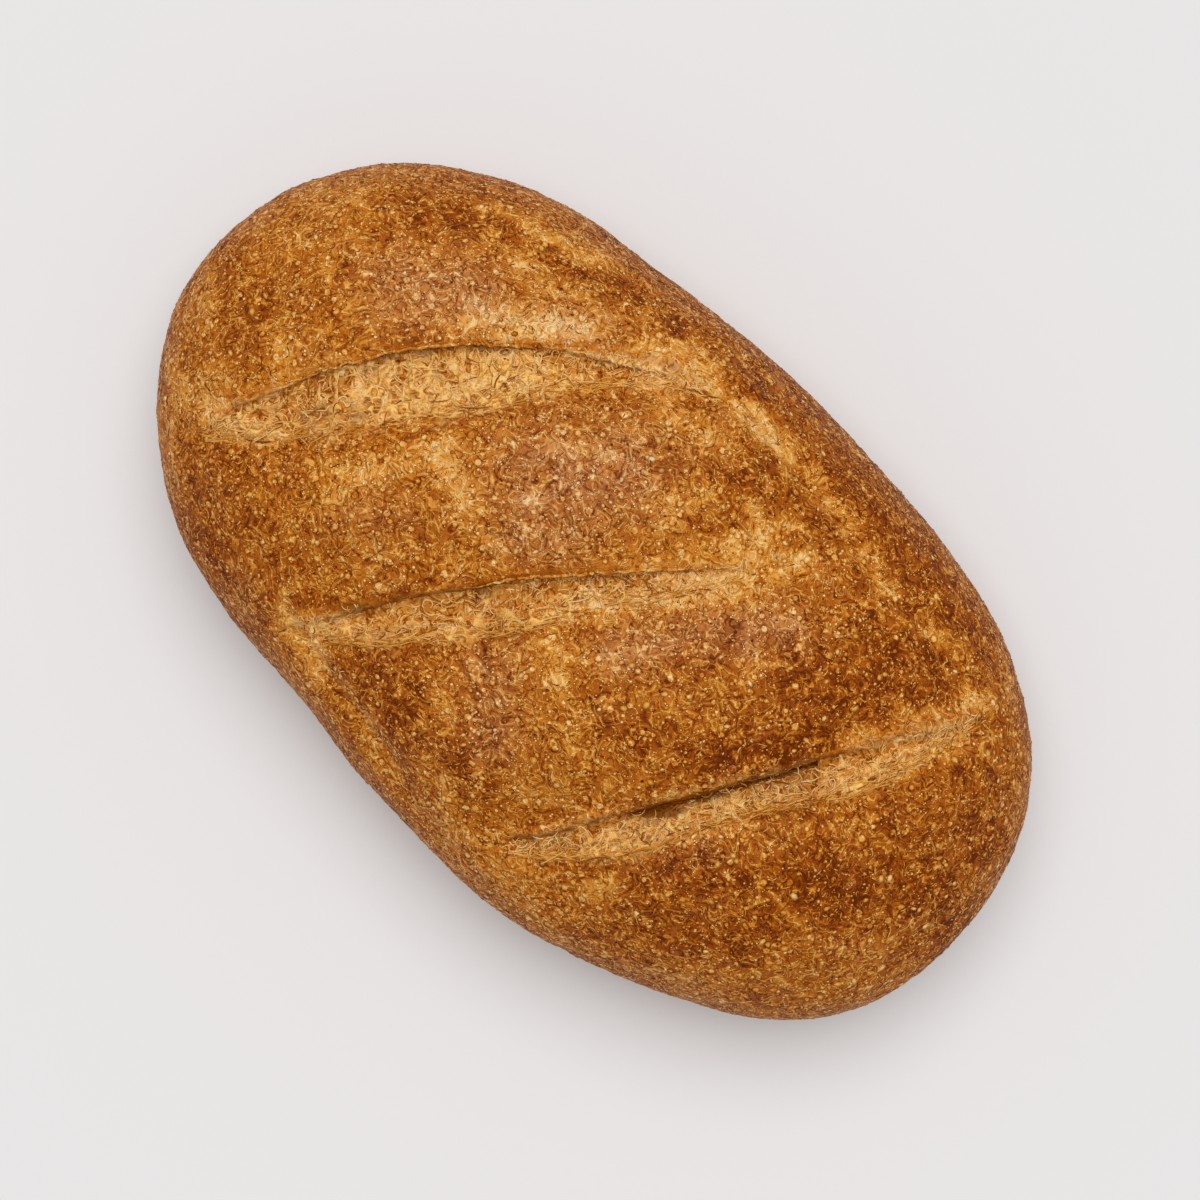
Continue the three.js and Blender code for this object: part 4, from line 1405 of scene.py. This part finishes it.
def scatter_piece(name, points, one_faces, shade, dull=0.0):
    """One piece of many like parts: points of each part, the triangles of one, and how light and dull each is."""
    count, corners = points.shape[:2]
    faces = (one_faces[None] + (np.arange(count) * corners)[:, None, None]).reshape(-1, 3)
    flat = points.reshape(-1, 3)
    flat[:, 2] = np.maximum(flat[:, 2], 0.0)
    piece = new_piece(name, flat, faces.tolist())
    mark(piece, "shade", np.broadcast_to(shade, (count, corners)).ravel())
    mark(piece, "dull", np.broadcast_to(dull, (count, corners)).ravel())
    turn_outwards(piece)
    soften(piece)
    finish_piece(piece, bpy.data.materials.get("bran") or bran_material())


def flake_shape(context):
    """Corners and triangles of one flake of length, width and thickness 2, modelled from a low cone."""
    deselect()
    bpy.ops.mesh.primitive_cone_add(vertices=6, radius1=1, depth=1, end_fill_type="TRIFAN", location=(0, 0, 0.5))
    flake = context.object
    bpy.ops.object.transform_apply(location=True)
    points = positions(flake)
    radius = np.hypot(points[:, 0], points[:, 1])
    points[:, 2] = np.where(radius > 0.5, 0.1, np.where(points[:, 2] > 0.5, 1.0, -0.5))
    faces = np.array([tuple(face.vertices) for face in flake.data.polygons])
    bpy.data.objects.remove(flake)
    return points, faces


def spots_on(piece, count, draw):
    """Random points on the upper skin of a piece, with the skin's way out at each."""
    mesh = piece.data
    mesh.calc_loop_triangles()
    corners = np.empty(len(mesh.loop_triangles) * 3, np.int64)
    mesh.loop_triangles.foreach_get("vertices", corners)
    corners = corners.reshape(-1, 3)
    points = positions(piece)
    out = normals(piece)
    torn = np.empty(len(points))
    mesh.attributes["torn"].data.foreach_get("value", torn)
    a, b, c = (points[corners[:, i]] for i in range(3))
    area = np.linalg.norm(np.cross(b - a, c - a), axis=1) / 2
    height = (a[:, 2] + b[:, 2] + c[:, 2]) / 3
    weight = area * smooth_between(1 * MM, 10 * MM, height) * (1 - 0.85 * torn[corners].mean(axis=1))
    chosen = draw.choice(len(corners), count, p=weight / weight.sum())
    share = draw.dirichlet((1, 1, 1), count)
    spots = np.einsum("ni,nij->nj", share, points[corners[chosen]])
    ups = np.einsum("ni,nij->nj", share, out[corners[chosen]])
    return spots, ups / np.linalg.norm(ups, axis=1, keepdims=True)


class LOAF_OT_stage(bpy.types.Operator):
    """Sets the pale floor, the soft light and the camera straight above"""

    bl_idname = "loaf.stage"
    bl_label = "Stage"

    def execute(self, context):
        scene = context.scene
        scene.view_settings.view_transform = "Standard"
        deselect()
        bpy.ops.mesh.primitive_plane_add(size=6.0, location=(0, 0, 0))
        floor = context.object
        floor.name = "floor"
        material, _, shader = blank_material("floor", 0.9)
        shader.inputs["Base Color"].default_value = (*scene.loaf_colours.floor, 1)
        floor.data.materials.append(material)

        camera = bpy.data.objects.new("camera", bpy.data.cameras.new("camera"))
        scene.collection.objects.link(camera)
        camera.data.lens = LENS
        camera.data.sensor_width = SENSOR
        camera.location = (*VIEW_CENTRE, CAMERA_HEIGHT)
        camera.rotation_euler = (0, 0, VIEW_TURN)
        camera.data.clip_end = 50
        scene.camera = camera

        world = bpy.data.worlds.new("soft_room")
        world.use_nodes = True
        room = world.node_tree.nodes["Background"]
        room.inputs["Color"].default_value = (1, 1, 1, 1)
        room.inputs["Strength"].default_value = ROOM_STRENGTH
        scene.world = world

        key = bpy.data.objects.new("window", bpy.data.lights.new("window", "SUN"))
        scene.collection.objects.link(key)
        key.data.energy = KEY_STRENGTH
        key.data.angle = KEY_SPREAD
        bearing = KEY_BEARING[0] * RIGHT_AXIS - KEY_BEARING[1] * DOWN_AXIS
        key.rotation_euler = Vector((*bearing, 1)).to_track_quat("Z", "Y").to_euler()
        return {"FINISHED"}


class LOAF_PT_panel(bpy.types.Panel):
    """Lists the loaf's pieces and settings"""

    bl_idname = "LOAF_PT_panel"
    bl_label = "Wholemeal loaf"
    bl_space_type = "VIEW_3D"
    bl_region_type = "UI"
    bl_category = "Loaf"

    def draw(self, context):
        for operator in OPERATORS:
            self.layout.operator(operator.bl_idname)
        for settings in (context.scene.loaf_sizes, context.scene.loaf_colours):
            for name in settings.bl_rna.properties.keys():
                if name not in ("rna_type", "name"):
                    self.layout.prop(settings, name)


OPERATORS = (LOAF_OT_crust, LOAF_OT_crumb, LOAF_OT_threads, LOAF_OT_lips, LOAF_OT_bran, LOAF_OT_slivers)
OPERATORS += (LOAF_OT_stage,)
CLASSES = (LoafSizes, LoafColours, *OPERATORS, LOAF_PT_panel)


def register():
    for item in CLASSES:
        bpy.utils.register_class(item)
    bpy.types.Scene.loaf_sizes = PointerProperty(type=LoafSizes)
    bpy.types.Scene.loaf_colours = PointerProperty(type=LoafColours)


def unregister():
    del bpy.types.Scene.loaf_colours
    del bpy.types.Scene.loaf_sizes
    for item in reversed(CLASSES):
        bpy.utils.unregister_class(item)


def main():
    register()
    bpy.ops.loaf.crust()
    bpy.ops.loaf.crumb()
    bpy.ops.loaf.threads()
    bpy.ops.loaf.lips()
    bpy.ops.loaf.bran()
    bpy.ops.loaf.slivers()
    bpy.ops.loaf.stage()


if __name__ == "__main__":
    main()
